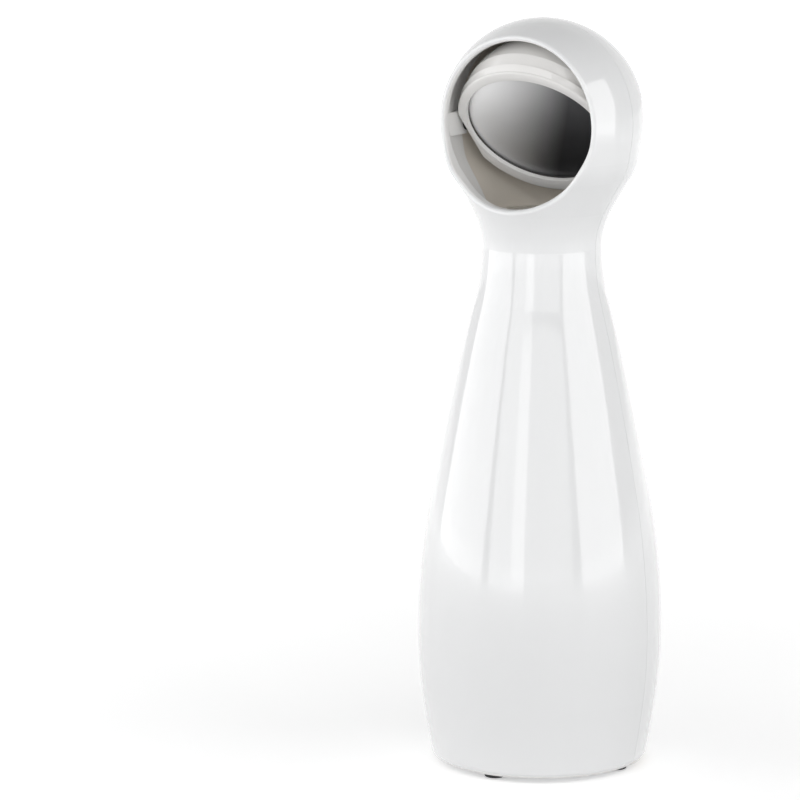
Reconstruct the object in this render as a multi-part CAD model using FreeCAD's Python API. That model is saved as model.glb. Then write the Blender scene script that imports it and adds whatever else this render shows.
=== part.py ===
import FreeCAD, Part
import math
import os

from FreeCAD import Placement, Rotation, Vector

# Automatic cat laser toy, in millimetres.
# Origin at the middle of the underside, +Z up, the head opening faces -Y, the mirror tilts about X.

far = 100.0                    # beyond every piece, for cuts that run right through
tiny = 0.01                    # tolerance when edges are picked by their place
seat = 0.3                     # how far a peg or a boss runs into the piece that it stands on

# ---- Housing ----
height = 235.0
head_radius = 31.75
head_join_angle = 8.0          # the flank meets the head this far below its equator
flare_radius = 27.9            # steepest part of the flare under the head
flare_drop = 17.45             # below the middle of the head
flare_slope = 33.4             # lean of the side line there, degrees from upright, outwards
neck_radius = 19.0
neck_drop = 39.25              # narrowest place, below the middle of the head
taper_radius = 25.7            # steepest part of the taper between belly and neck
taper_z = 129.1
taper_slope = -12.8
belly_radius = 38.5
belly_z = 42.4
foot_radius = 34.2
foot_round = 3.0
foot_slope = 11.0              # lean of the flank at the foot, degrees
foot_lift = 1.2                # gap between the housing's edge and the floor
wall = 2.3

opening_radius = 25.7
lip_round = 1.0
lip_ring_depth = 1.2
lip_ring_width = 2.5
lip_ring_back = 14.0           # the thicker wall ends this far in front of the middle

seam_gap = 0.08
tongue_depth = 1.2
tongue_thickness = 0.7
tongue_inset = 0.85
tongue_clearance = 0.1
tongue_bottom = 2.4

rib_thickness = 1.5
rib_overlap = 1.5              # how far a rib reaches over the disc that it holds
bite = 0.4                     # how far inner features run into the wall they grow from
disc_clearance = 0.5

lower_screw_x = 25.0
lower_screw_z = 34.0
upper_screw_x = 12.5
upper_screw_drop = 18.0        # below the narrowest place of the neck
shell_boss_radius = 3.3
shell_boss_bore = 1.55
shell_head_bore = 2.7
shell_head_depth_y = 8.0

# ---- Screws ----
screw_head_radius = 2.3
screw_head_height = 1.6
screw_head_chamfer = 0.5
screw_shank_radius = 1.2
screw_slot_width = 0.7
screw_slot_depth = 0.7
screw_clearance = 0.2
shell_screw_length = 14.0
base_screw_length = 9.0
board_screw_length = 5.5
board_screw_head_radius = 1.7
board_screw_shank_radius = 0.9

# ---- Base, door and cells ----
base_thickness = 2.5
base_inset = 0.4               # base plate above the housing's edge
base_clearance = 0.2
base_screw_circle = 28.0
base_post_radius = 2.7
base_post_height = 10.0
base_web = 2.0
foot_pad_radius = 3.3
foot_pad_circle = 27.9
foot_pad_recess = 0.6
foot_pad_chamfer = 0.5

door_radius = 23.0
door_thickness = 2.5
door_clearance = 0.3
door_chamfer = 0.4
door_sink = 0.3                # door face above the base plate's face
door_ledge = 1.9
door_gap = 0.05
collar_height = 1.6
collar_wall = 1.7
coin_head_radius = 5.0
coin_head_height = 1.5
coin_shank_radius = 1.9
coin_shank_length = 11.0
coin_clearance = 0.1
coin_end_room = 1.0            # bore past the end of the screw
coin_slot_width = 1.4
coin_slot_depth = 0.9
coin_clip_radius = 3.3
coin_clip_thickness = 0.5
coin_clip_opening = 0.75       # share of the groove's width that the clip slips on through
coin_groove_depth = 0.4
coin_sink = 0.2                # head below the door's face

cell_radius = 7.25
cell_length = 50.5
cell_nub_radius = 2.75
cell_nub_height = 1.0
cell_pitch = 16.0
cell_clearance = 0.2
holder_wall = 1.25
holder_bottom_z = 6.3
holder_disc_thickness = 2.5
cable_hole_radius = 2.5
contact_thickness = 0.4
contact_gap = 0.05
contact_width = 8.0
spring_height = 2.6
spring_wire = 0.5
spring_big_radius = 3.6
spring_small_radius = 1.9
spring_turns = 3

# ---- Head: deck, window, bearings and mirror pod ----
deck_rise = 6.5                # above the narrowest place of the neck
deck_thickness = 2.0
beam_hole_radius = 8.3
window_radius = 9.6
window_thickness = 1.5
window_clearance = 0.1

pivot_drop = 2.2               # pod pivot below the middle of the head
pivot_pin_radius = 1.5
pivot_clearance = 0.05
pivot_end_gap = 0.7
bearing_inner_x = 27.2
bearing_top = 3.6              # above the pivot
bearing_bottom = 3.7           # below the pivot
bearing_front = 11.5
bearing_back = 4.5

look_down = 35.0               # how far the mirror faces below level
dome_radius = 26.3
dome_wall = 1.8
dome_shoulder = 3.3            # height of the sloped edge round the front of the dome
dome_shoulder_width = 1.7
dome_flat_x = 25.7
dome_boss_radius = 8.3
dome_boss_depth = 2.2
bezel_face = 5.0               # bezel front in front of the middle of the ball
bezel_flange = 2.2
bezel_lip = 1.4
bezel_half_width = 27.3
bezel_half_height = 24.0
bezel_raise = -0.8             # bezel middle above the ball's middle, in its own plane
bezel_edge_round = 0.7
bezel_flat_top = (26.7, 4.2)   # ends of the straight side of the bezel, across and up in its plane
bezel_flat_low = (23.7, -11.8)
sight_half_width = 24.1        # opening of the bezel that shows the mirror
sight_half_height = 20.4
sight_raise = -0.4
gasket_depth = 0.7
gasket_wall = 0.5
seat_gap = 0.05                # round the mirror and the gasket in the bezel
mirror_thickness = 1.6
plug_half_width = 25.0          # back of the bezel that sits in the dome
plug_half_height = 21.8
plug_clearance = 0.15
bed_thickness = 1.6            # ledge in the dome that the mirror lies on
bed_hole_radius = 17.0
shoulder_radius = 1.8
shoulder_length = 0.35
washer_radius = 2.6
washer_gap = 0.05

# ---- Laser gimbal ----
gimbal_z = 118.0
gear_module = 0.6
pinion_teeth = 12
sector_wheel_teeth = 36
sector_teeth = 6
pressure_angle = 20.0
addendum = 0.75
dedendum = 1.05
tooth_backlash = 0.06
gear_width = 2.5
sector_hub_radius = 4.0
sector_window_radius = 1.6
sector_window_middle = 6.7

motor_radius = 4.0
motor_length = 9.0
motor_nose_radius = 1.6
motor_nose_length = 0.3
motor_shaft_radius = 0.75
motor_shaft_clearance = 0.05
motor_bed_clearance = 0.03
motor_back_wall = 1.0
motor_shaft_end = 0.3          # shaft past the pinion, and short of the motor's back wall
gear_side_gap = 0.6            # between a motor's face and its pinion

laser_radius = 3.25
laser_bottom = -8.0            # ends of the barrel from the gimbal's middle
laser_top = 8.5
laser_wall = 0.8
lens_thickness = 1.2
laser_cap = 0.8                # end wall of the barrel in front of the lens
laser_mouth_radius = 1.3
laser_groove_drop = 2.6
laser_groove_width = 0.6
laser_groove_depth = 0.3
laser_board_radius = 2.9
laser_board_thickness = 1.0
diode_flange = 1.2
diode_can_radius = 1.6
diode_height = 3.8
holder_tube_radius = 5.0
holder_tube_bottom = -7.5
holder_tube_top = 6.5
hub_radius = 2.6
hub_start = 4.0                # hubs of the laser holder begin here, inside its tube's wall
pan_pin_radius = 1.0
pan_sector_front = 8.0         # outer face of the pan sector, in front of the middle
yoke_height = 7.0
yoke_front = 11.0
yoke_front_wall = 2.4
yoke_back = 9.7
yoke_back_wall = 2.2
yoke_right = 11.0
yoke_right_wall = 2.5
yoke_left_wall = 2.2
yoke_corner = 2.0
bay_half = 7.5
running_gap = 0.4

tilt_pin_radius = 1.5
tilt_pin_clearance = 0.05
cheek_gap = 0.6
cheek_thickness = 2.5
cheek_half_width = 4.5
cheek_web = 3.0
pin_end_gap = 0.3
frame_drop = 26.0              # below the gimbal's middle
frame_thickness = 2.5
frame_cable_hole_radius = 4.0
frame_cable_hole = (-8.0, 14.0)
motor_bed_wall = 1.6
motor_bed_inset = 0.9          # bed shorter than the motor at each end
motor_bed_rise = 1.6           # bed edge above the motor's middle

# ---- Circuit board and controls ----
board_front_y = 23.0
board_thickness = 1.6
board_half_width = 17.0
board_bottom_z = 63.5
board_top_z = 89.0
board_post_x = 14.0
board_post_inset = 3.0
board_post_radius = 2.4
# each part's place on the board in x and z, then its width, height and depth
board_chip = (-6.5, 75.5, 7.0, 7.0, 1.0)
board_crystal = (-7.5, 68.5, 5.0, 2.0, 1.4)
board_left_socket = (1.0, 68.0, 5.0, 4.0, 4.0)
board_right_socket = (8.0, 68.0, 5.0, 4.0, 4.0)
board_capacitor = (6.0, 81.0, 2.5, 6.0)      # x, z, radius and depth
button_z = 82.0
button_radius = 6.0
button_clearance = 0.25
button_proud = 0.7
button_travel = 0.5
button_flange_radius = 7.2
button_flange_thickness = 1.0
button_rest_gap = 0.05         # between the flange and its guide when the button is up
button_guide_wall = 1.5
switch_half = 3.0
switch_height = 3.4
plunger_radius = 1.75
plunger_height = 0.9
plunger_clearance = 0.1
plunger_well = 1.6
slider_z = 69.5
slider_travel = 4.0
slider_half_width = 2.6
slider_half_height = 1.6
slider_clearance = 0.25
slider_proud = 0.9
slider_plate_thickness = 1.0
slider_plate_y = 32.2
slider_plate_margin = 1.2
slider_groove_depth = 0.5
slider_groove_half = 0.35
slider_groove_pitch = 1.4
slider_fork_half = 1.8
slider_fork_depth = 3.0
slider_switch_half_height = 1.9
slider_lever_depth = 1.2       # how deep the lever sits in its switch
slider_switch_half_width = 4.5
slider_lever_half = 0.8
slider_lever_height = 2.4

# ---- Worked-out places ----
head_z = height - head_radius
flare_z = head_z - flare_drop
neck_z = head_z - neck_drop
deck_z = neck_z + deck_rise
frame_z = gimbal_z - frame_drop
# x and z of the shell screws, which stand on both sides
shell_screw_places = [(lower_screw_x, lower_screw_z), (upper_screw_x, neck_z - upper_screw_drop)]
pinion_radius = gear_module * pinion_teeth / 2
sector_radius = gear_module * sector_wheel_teeth / 2
gear_distance = pinion_radius + sector_radius
pivot_z = head_z - pivot_drop
base_z = foot_lift + base_inset
base_top = base_z + base_thickness
door_z = base_z + door_sink
door_top = door_z + door_thickness
coin_seat = door_z + coin_sink + coin_head_height
cell_floor = door_top + contact_thickness
cell_bay = spring_height + cell_length
cell_ceiling = cell_floor + cell_bay
holder_disc_z = cell_ceiling + contact_thickness
board_back_y = board_front_y + board_thickness
motor_face_x = yoke_right - gear_side_gap
pan_motor_face_y = -(pan_sector_front - gear_width) + gear_side_gap
switch_top = board_back_y + switch_height
flange_start = switch_top + plunger_height
guide_start = flange_start + button_flange_thickness + button_rest_gap
yoke_left = gear_distance + motor_radius + running_gap / 2 + yoke_left_wall
flange_back = bezel_face - bezel_flange
gasket_front = bezel_face - bezel_lip
mirror_front = gasket_front - gasket_depth
mirror_back = mirror_front - mirror_thickness


# ---- Helpers ----
def box(x_range, y_range, z_range):
    corner = Vector(x_range[0], y_range[0], z_range[0])
    return Part.makeBox(x_range[1] - x_range[0], y_range[1] - y_range[0], z_range[1] - z_range[0], corner)


def rod(radius, start, direction, length):
    return Part.makeCylinder(radius, length, start, direction)


def upright(radius, x, y, z_range):
    return rod(radius, Vector(x, y, z_range[0]), Vector(0, 0, 1), z_range[1] - z_range[0])


def mirrored(shape):
    """The same shape on the other side of the middle plane X = 0."""
    return shape.mirror(Vector(0, 0, 0), Vector(1, 0, 0))


def both_sides(shape):
    return [shape, mirrored(shape)]


def fused(shapes):
    return shapes[0].multiFuse(shapes[1:]).removeSplitter()


def cut_away(shape, tools):
    for tool in tools:
        shape = shape.cut(tool)
    return shape


def save(name, shapes):
    solids = [solid for shape in shapes for solid in shape.Solids]
    whole = solids[0] if len(solids) == 1 else Part.makeCompound(solids)
    whole.exportStep("parts/" + name + ".step")


# ---- Housing form ----
def heading(slope):
    """Direction upwards that leans outwards by slope degrees."""
    return Vector(math.sin(math.radians(slope)), 0, math.cos(math.radians(slope)))


def turned_out(direction):
    """Direction across a side line, away from the axis."""
    return Vector(direction.z, 0, -direction.x)


def guide_points():
    """Places that the side line passes, foot to head, each with its direction."""
    foot_side = Vector(foot_radius, 0, foot_lift + foot_round * (1 - heading(foot_slope).x))
    head_middle = Vector(0, 0, head_z)
    head_start = head_middle + turned_out(heading(head_join_angle)) * head_radius
    return [
        (foot_side, heading(foot_slope)),
        (Vector(belly_radius, 0, belly_z), heading(0)),
        (Vector(taper_radius, 0, taper_z), heading(taper_slope)),
        (Vector(neck_radius, 0, neck_z), heading(0)),
        (Vector(flare_radius, 0, flare_z), heading(flare_slope)),
        (head_start, heading(head_join_angle)),
    ]


def arc_between(start, direction, end):
    """Middle point and end direction of the arc that leaves start along direction and reaches end."""
    chord = end - start
    out = turned_out(direction)
    reach = chord.dot(chord) / (2 * chord.dot(out))
    centre = start + out * reach
    to_middle = ((start + end) * 0.5 - centre).normalize()
    end_out = (end - centre) * (1 / reach)
    end_direction = Vector(end_out.z, 0, -end_out.x)
    return centre + to_middle * abs(reach), end_direction


def side_arcs(inset):
    """Tangent arcs of the side line moved in by inset, two between each two guide points."""
    arcs = []
    guides = guide_points()
    for (low, low_way), (high, high_way) in zip(guides, guides[1:]):
        chord = high - low
        both = low_way + high_way
        bend = 2 * (1 - low_way.dot(high_way))
        arm = (math.sqrt(chord.dot(both) ** 2 + bend * chord.dot(chord)) - chord.dot(both)) / bend
        meeting = (low + high + (low_way - high_way) * arm) * 0.5
        start, way = low, low_way
        for end in (meeting, high):
            middle, end_way = arc_between(start, way, end)
            middle_way = (way + end_way).normalize()
            arcs.append(Part.Arc(start - turned_out(way) * inset, middle - turned_out(middle_way) * inset,
                                 end - turned_out(end_way) * inset).toShape())
            start, way = end, end_way
    return arcs


def housing_form(inset):
    """Solid inside the housing's face; inset forms run straight down below the foot."""
    side = side_arcs(inset)
    start = side[0].Vertexes[0].Point
    end = side[-1].Vertexes[-1].Point
    if inset == 0:
        centre = start - turned_out(heading(foot_slope)) * foot_round
        bottom = centre + Vector(0, 0, -foot_round)
        bend = centre + turned_out(heading((foot_slope + 90.0) / 2)) * foot_round
        lower = Part.Arc(bottom, bend, start).toShape()
    else:
        bottom = Vector(start.x, 0, -1)
        lower = Part.makeLine(bottom, start)
    axis_low = Vector(0, 0, bottom.z)
    axis_high = Vector(0, 0, end.z)
    edges = [Part.makeLine(axis_low, bottom), lower] + side
    edges += [Part.makeLine(end, axis_high), Part.makeLine(axis_high, axis_low)]
    body = Part.Face(Part.Wire(edges)).revolve(Vector(0, 0, 0), Vector(0, 0, 1), 360)
    ball = Part.makeSphere(head_radius - inset, Vector(0, 0, head_z), Vector(0, 1, 0))
    return fused([body, ball.common(box((-far, far), (-far, far), (end.z, height + far)))])


def inner_radius(z):
    """Radius of the housing's cavity at a height below the head."""
    level = Part.makeLine(Vector(0, 0, z), Vector(2 * belly_radius, 0, z))
    return level.distToShape(Part.Wire(side_arcs(wall)))[1][0][0].x


def front_side(shape):
    return shape.common(box((-far, far), (-far, -seam_gap), (-far, height + far)))


def rear_side(shape):
    return shape.common(box((-far, far), (0, far), (-far, height + far)))


cavity = housing_form(wall)
wall_bite = housing_form(wall - bite)
middle_of_wall = housing_form(wall / 2)


def in_cavity(shape):
    """The part of an inner feature that lies inside the housing, run a little into its wall."""
    return shape.common(wall_bite)


def rib_ring(z_range, inner):
    return in_cavity(upright(far, 0, 0, z_range)).cut(upright(inner, 0, 0, z_range))


def groove_ribs(disc_z, thickness, disc_radius):
    """Two ribs that hold the edge of a disc between them."""
    inner = disc_radius - rib_overlap
    top = disc_z + thickness
    return [rib_ring((disc_z - rib_thickness, disc_z), inner), rib_ring((top, top + rib_thickness), inner)]


def disc_radius_at(z, thickness):
    return min(inner_radius(z), inner_radius(z + thickness)) - disc_clearance


# ---- Screws ----
def pan_screw(place, direction, head, shank, length):
    """Slotted pan-head screw of head and shank radius; place is the middle of the seat under the head."""
    cap = rod(head, place, -direction, screw_head_height)
    rim = [edge for edge in cap.Edges if isinstance(edge.Curve, Part.Circle)
           and (edge.Curve.Center - place).Length > screw_head_height / 2]
    cap = cap.makeChamfer(screw_head_chamfer, rim)
    slot = Part.makeBox(4 * head, screw_slot_width, 2 * screw_slot_depth,
                        Vector(-2 * head, -screw_slot_width / 2, 0))
    slot.Placement = Placement(place - direction * (screw_head_height - screw_slot_depth),
                               Rotation(Vector(0, 0, 1), -direction))
    return fused([cap.cut(slot), rod(shank, place, direction, length)])


def shell_screws():
    screws = []
    for x, z in shell_screw_places:
        for side in (-1, 1):
            place = Vector(side * x, shell_head_depth_y, z)
            screws.append(pan_screw(place, Vector(0, -1, 0), screw_head_radius, screw_shank_radius,
                                    shell_screw_length))
    return screws


def base_screw_spots():
    reach = base_screw_circle * math.sqrt(0.5)
    return [(sx * reach, sy * reach) for sx in (-1, 1) for sy in (-1, 1)]


def base_screws():
    seat_z = base_z + screw_head_height
    return [pan_screw(Vector(x, y, seat_z), Vector(0, 0, 1), screw_head_radius, screw_shank_radius,
                      base_screw_length) for x, y in base_screw_spots()]


def board_screw_spots():
    rows = (board_bottom_z + board_post_inset, board_top_z - board_post_inset)
    return [(sx * board_post_x, z) for sx in (-1, 1) for z in rows]


def board_screws():
    return [pan_screw(Vector(x, board_front_y, z), Vector(0, 1, 0), board_screw_head_radius,
                      board_screw_shank_radius, board_screw_length) for x, z in board_screw_spots()]


# ---- Shells ----
def opening_bore():
    return rod(opening_radius, Vector(0, -far, head_z), Vector(0, 1, 0), far)


def lip_ring():
    """Thicker wall round the head opening, which the rolled lip is cut in."""
    ring = wall_bite.cut(housing_form(wall + lip_ring_depth))
    around = rod(opening_radius + lip_ring_width, Vector(0, -far, head_z), Vector(0, 1, 0),
                 far - lip_ring_back)
    return ring.common(around)


def with_rolled_lip(shape):
    """Round the outer edge of the head opening."""
    rim = []
    for edge in shape.Edges:
        length = edge.LastParameter - edge.FirstParameter
        spots = [edge.valueAt(edge.FirstParameter + share * length) for share in (0.2, 0.5, 0.8)]
        on_bore = all(abs(math.hypot(spot.x, spot.z - head_z) - opening_radius) < tiny for spot in spots)
        outside = all(not middle_of_wall.isInside(spot, tiny, True) for spot in spots)
        if on_bore and outside:
            rim.append(edge)
    return shape.makeFillet(lip_round, rim)


def base_posts():
    """Screw posts for the base plate, with a web to the wall."""
    z_range = (base_top, base_top + base_post_height)
    posts = []
    for x, y in base_screw_spots():
        posts.append(upright(base_post_radius, x, y, z_range))
        web = box((base_screw_circle, far), (-base_web / 2, base_web / 2), z_range)
        web.rotate(Vector(0, 0, 0), Vector(0, 0, 1), math.degrees(math.atan2(y, x)))
        posts.append(web)
    return posts


def base_post_bores():
    z_range = (0, base_top + base_screw_length)
    return [upright(screw_shank_radius, x, y, z_range) for x, y in base_screw_spots()]


def at_shell_screws(radius, y_range):
    """Round columns along Y where the shell screws stand."""
    return [rod(radius, Vector(side * x, y_range[0], z), Vector(0, 1, 0), y_range[1] - y_range[0])
            for x, z in shell_screw_places for side in (-1, 1)]


def bearing_block(y_range):
    """Block between the head's wall and the pod that holds one half of the pivot bearing."""
    z_range = (pivot_z - bearing_bottom, pivot_z + bearing_top)
    return both_sides(box((bearing_inner_x, head_radius), y_range, z_range))


def pivot_bore():
    radius = pivot_pin_radius + pivot_clearance
    reach = head_radius - wall - bite
    return rod(radius, Vector(-reach, 0, pivot_z), Vector(1, 0, 0), 2 * reach)


def held_discs():
    """Height, thickness and radius of each disc that the two shells clamp in their ribs."""
    return [
        (holder_disc_z, holder_disc_thickness, disc_radius_at(holder_disc_z, holder_disc_thickness)),
        (frame_z, frame_thickness, disc_radius_at(frame_z, frame_thickness)),
        (deck_z, deck_thickness, disc_radius_at(deck_z, deck_thickness)),
    ]


def inner_ribs():
    ribs = [ring for disc in held_discs() for ring in groove_ribs(*disc)]
    ribs.append(rib_ring((base_top, base_top + rib_thickness), inner_radius(base_top) - rib_overlap))
    return ribs


def seam_band(inset, thickness, depth):
    """Thin band along the middle of the wall, just in front of the seam."""
    band = housing_form(inset).cut(housing_form(inset + thickness))
    return band.common(box((-far, far), (-depth, seat), (tongue_bottom, height)))


def front_shell():
    skin = housing_form(0).cut(cavity)
    features = inner_ribs() + base_posts() + bearing_block((-bearing_front, 0))
    features += at_shell_screws(shell_boss_radius, (-far, 0))
    rim = with_rolled_lip(front_side(fused([skin, lip_ring()])).cut(opening_bore()))
    inner = [front_side(in_cavity(feature)).cut(opening_bore()) for feature in features]
    body = fused([rim] + inner)
    bores = at_shell_screws(screw_shank_radius, (shell_head_depth_y - shell_screw_length, far))
    groove = seam_band(tongue_inset - tongue_clearance, tongue_thickness + 2 * tongue_clearance,
                       tongue_depth + tongue_clearance)
    return cut_away(body, bores + base_post_bores() + [groove, pivot_bore()])


def rear_shell():
    skin = housing_form(0).cut(cavity)
    features = inner_ribs() + base_posts() + bearing_block((0, bearing_back))
    features += at_shell_screws(shell_boss_radius, (0, far)) + board_posts() + [button_guide()]
    body = rear_side(fused([skin] + [in_cavity(feature) for feature in features]))
    tongue = seam_band(tongue_inset, tongue_thickness, tongue_depth)
    head_bores = at_shell_screws(shell_head_bore, (shell_head_depth_y, far))
    shank_bores = at_shell_screws(shell_boss_bore, (0, far))
    body = cut_away(body, head_bores + shank_bores + base_post_bores() + board_post_bores())
    body = cut_away(body, [button_bore(), slider_slot(), pivot_bore()])
    return fused([body, tongue])


# ---- Base ----
def base_plate():
    plate = upright(inner_radius(base_top) - base_clearance, 0, 0, (base_z, base_top))
    recess_radius = door_radius + door_clearance
    collar = upright(recess_radius + collar_wall, 0, 0, (base_top, base_top + collar_height))
    recess = upright(recess_radius, 0, 0, (0, door_top + door_gap))
    way_in = upright(recess_radius - door_ledge, 0, 0, (0, far))
    head_bores = [upright(screw_head_radius + screw_clearance, x, y, (0, base_z + screw_head_height))
                  for x, y in base_screw_spots()]
    shank_bores = [upright(screw_shank_radius + screw_clearance, x, y, (0, base_top))
                   for x, y in base_screw_spots()]
    pads = [upright(foot_pad_radius, x, y, (0, base_z + foot_pad_recess)) for x, y in foot_spots()]
    return cut_away(fused([plate, collar]), [recess, way_in] + head_bores + shank_bores + pads)


def foot_spots():
    return [(foot_pad_circle, 0), (-foot_pad_circle, 0), (0, foot_pad_circle), (0, -foot_pad_circle)]


def rubber_feet():
    feet = []
    for x, y in foot_spots():
        pad = upright(foot_pad_radius, x, y, (0, base_z + foot_pad_recess))
        rim = [edge for edge in pad.Edges if edge.isClosed() and edge.CenterOfMass.z < tiny]
        feet.append(pad.makeChamfer(foot_pad_chamfer, rim[:1]))
    return feet


# ---- Battery door ----
def battery_door():
    disc = upright(door_radius, 0, 0, (door_z, door_top))
    rim = [edge for edge in disc.Edges if edge.isClosed() and edge.CenterOfMass.z < door_z + tiny]
    disc = disc.makeChamfer(door_chamfer, rim[:1])
    head_bore = upright(coin_head_radius + door_clearance, 0, 0, (0, coin_seat))
    shank_bore = upright(coin_shank_radius + 2 * coin_clearance, 0, 0, (0, door_top))
    return cut_away(disc, [head_bore, shank_bore])


def clip_band(radius, thickness):
    """Flat ring on the inner side of the door round the coin screw's groove."""
    low = door_top + contact_gap
    ring = upright(radius, 0, 0, (low, low + thickness))
    return ring.cut(upright(coin_shank_radius - coin_groove_depth, 0, 0, (0, far)))


def door_screw():
    head = upright(coin_head_radius, 0, 0, (coin_seat - coin_head_height, coin_seat))
    shank = upright(coin_shank_radius, 0, 0, (coin_seat, coin_seat + coin_shank_length))
    slot_top = coin_seat - coin_head_height + coin_slot_depth
    slot = box((-far, far), (-coin_slot_width / 2, coin_slot_width / 2), (0, slot_top))
    groove = clip_band(coin_head_radius, coin_clip_thickness + contact_gap)
    return cut_away(fused([head, shank]), [slot, groove])


def screw_clip():
    half_gap = (coin_shank_radius - coin_groove_depth) * coin_clip_opening
    gap = box((0, far), (-half_gap, half_gap), (0, far))
    return clip_band(coin_clip_radius, coin_clip_thickness).cut(gap)


# ---- Cells, holder and contacts ----
def cell_places():
    """Middle of each cell and whether its nub points up."""
    half = cell_pitch / 2
    return [(-half, -half, True), (half, -half, False), (half, half, True), (-half, half, False)]


def battery_cell(x, y, nub_up):
    low = cell_floor + (spring_height if nub_up else contact_gap)
    high = low + cell_length - contact_gap
    if nub_up:
        can = (low, high - cell_nub_height)
        nub = (high - cell_nub_height, high)
    else:
        can = (low + cell_nub_height, high)
        nub = (low, low + cell_nub_height)
    return fused([upright(cell_radius, x, y, can), upright(cell_nub_radius, x, y, nub)])


def contact_spring(x, y, low, points_up):
    """Conical coil spring of square wire, wide end on its plate."""
    rise = spring_height - spring_wire - contact_gap
    slope = math.degrees(math.atan((spring_small_radius - spring_big_radius) / rise))
    path = Part.makeHelix(rise / spring_turns, rise, spring_big_radius, slope)
    half = spring_wire / 2
    corners = [Vector(spring_big_radius + out, 0, up)
               for out, up in ((-half, -half), (half, -half), (half, half), (-half, half), (-half, -half))]
    spring = Part.Wire(path.Edges).makePipeShell([Part.makePolygon(corners)], True, True)
    spring.translate(Vector(0, 0, half))
    if not points_up:
        spring.rotate(Vector(0, 0, 0), Vector(1, 0, 0), 180)
        spring.translate(Vector(0, 0, spring_height))
    spring.translate(Vector(x, y, low))
    return spring


def door_springs():
    return [contact_spring(x, y, cell_floor, True) for x, y, nub_up in cell_places() if nub_up]


def top_springs():
    low = cell_ceiling - spring_height
    return [contact_spring(x, y, low, False) for x, y, nub_up in cell_places() if not nub_up]


def contact_plate(x_range, y, low):
    half = contact_width / 2
    return box(x_range, (y - half, y + half), (low, low + contact_thickness))


def door_contacts():
    reach = cell_pitch / 2 + contact_width / 2
    return [contact_plate((-reach, reach), y, door_top) for y in (-cell_pitch / 2, cell_pitch / 2)]


def top_contacts():
    half = cell_pitch / 2
    reach = half + contact_width / 2
    joined = contact_plate((-reach, reach), half, cell_ceiling)
    singles = [contact_plate((side * half - contact_width / 2, side * half + contact_width / 2), -half,
                             cell_ceiling) for side in (-1, 1)]
    return [joined] + singles


def battery_holder():
    """Four tubes for the cells round a post for the coin screw, hung from a disc."""
    bore = cell_radius + cell_clearance
    z_range = (holder_bottom_z, holder_disc_z)
    tubes = [upright(bore + holder_wall, x, y, z_range) for x, y, nub_up in cell_places()]
    post = upright(cell_pitch / math.sqrt(2) - bore + holder_wall, 0, 0, z_range)
    disc_z, thickness, radius = held_discs()[0]
    disc = upright(radius, 0, 0, (disc_z, disc_z + thickness))
    bores = [upright(bore, x, y, (0, holder_disc_z)) for x, y, nub_up in cell_places()]
    screw_end = coin_seat + coin_shank_length
    screw_bore = upright(coin_shank_radius + coin_clearance, 0, 0, (0, screw_end + coin_end_room))
    cable_hole = upright(cable_hole_radius, 0, radius - 2 * cable_hole_radius, (0, far))
    return cut_away(fused(tubes + [post, disc]), bores + [screw_bore, cable_hole] + top_contacts())


# ---- Deck and window ----
def beam_deck():
    disc_z, thickness, radius = held_discs()[2]
    deck = upright(radius, 0, 0, (disc_z, disc_z + thickness))
    seat_z = disc_z + thickness - window_thickness
    rebate = upright(window_radius + window_clearance, 0, 0, (seat_z, far + disc_z))
    return cut_away(deck, [upright(beam_hole_radius, 0, 0, (0, far + disc_z)), rebate])


def laser_window():
    seat_z = deck_z + deck_thickness - window_thickness
    return upright(window_radius, 0, 0, (seat_z, seat_z + window_thickness))


# ---- Mirror pod, built facing up in its own plane and then turned to face forward and down ----
def faced(shape):
    """Turn a shape built along +Z at the origin so that +Z becomes the mirror's facing direction."""
    turn = Rotation(Vector(1, 0, 0), 90 + look_down)
    shape.Placement = Placement(Vector(0, 0, head_z), turn).multiply(shape.Placement)
    return shape


def oval(half_width, half_height, lift, z_range):
    """Elliptic column across X and Y, moved towards the top of the mirror."""
    curve = Part.Ellipse(Vector(0, 0, z_range[0]), half_width, half_height)
    column = Part.Face(Part.Wire(curve.toShape())).extrude(Vector(0, 0, z_range[1] - z_range[0]))
    column.translate(Vector(0, lift, 0))
    return column


def mirror_dome():
    """Ball-shaped back of the pod with flats, a ledge for the mirror and its two trunnions."""
    ball = Part.makeSphere(dome_radius)
    hollow = Part.makeSphere(dome_radius - dome_wall)
    keep = box((-dome_flat_x, dome_flat_x), (-far, far), (-far, flange_back))
    bed = upright(dome_radius, 0, 0, (mirror_back - bed_thickness, mirror_back)).common(ball)
    bed = bed.cut(upright(bed_hole_radius, 0, 0, (-far, far)))
    side_boss = rod(dome_boss_radius, Vector(dome_flat_x - dome_boss_depth, 0, 0), Vector(1, 0, 0), far)
    bosses = [boss.common(ball).common(box((-far, far), (-far, far), (-far, mirror_back)))
              for boss in both_sides(side_boss)]
    body = fused([ball.cut(hollow), bed] + bosses).common(keep).common(shoulder_form())
    body = body.cut(plug_form(plug_clearance, (mirror_back, far)))
    return fused([faced(body)] + both_sides(trunnion()))


def trunnion():
    root = Vector(dome_flat_x - seat, 0, pivot_z)
    reach = head_radius - wall - pivot_end_gap - root.x
    shoulder = rod(shoulder_radius, root, Vector(1, 0, 0), seat + shoulder_length)
    return shoulder.fuse(rod(pivot_pin_radius, root, Vector(1, 0, 0), reach))


def trunnion_room():
    """Space round the root of a trunnion that the bezel leaves free."""
    return rod(shoulder_radius + plug_clearance, Vector(dome_flat_x - 2 * seat, 0, pivot_z),
               Vector(1, 0, 0), far)


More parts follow.
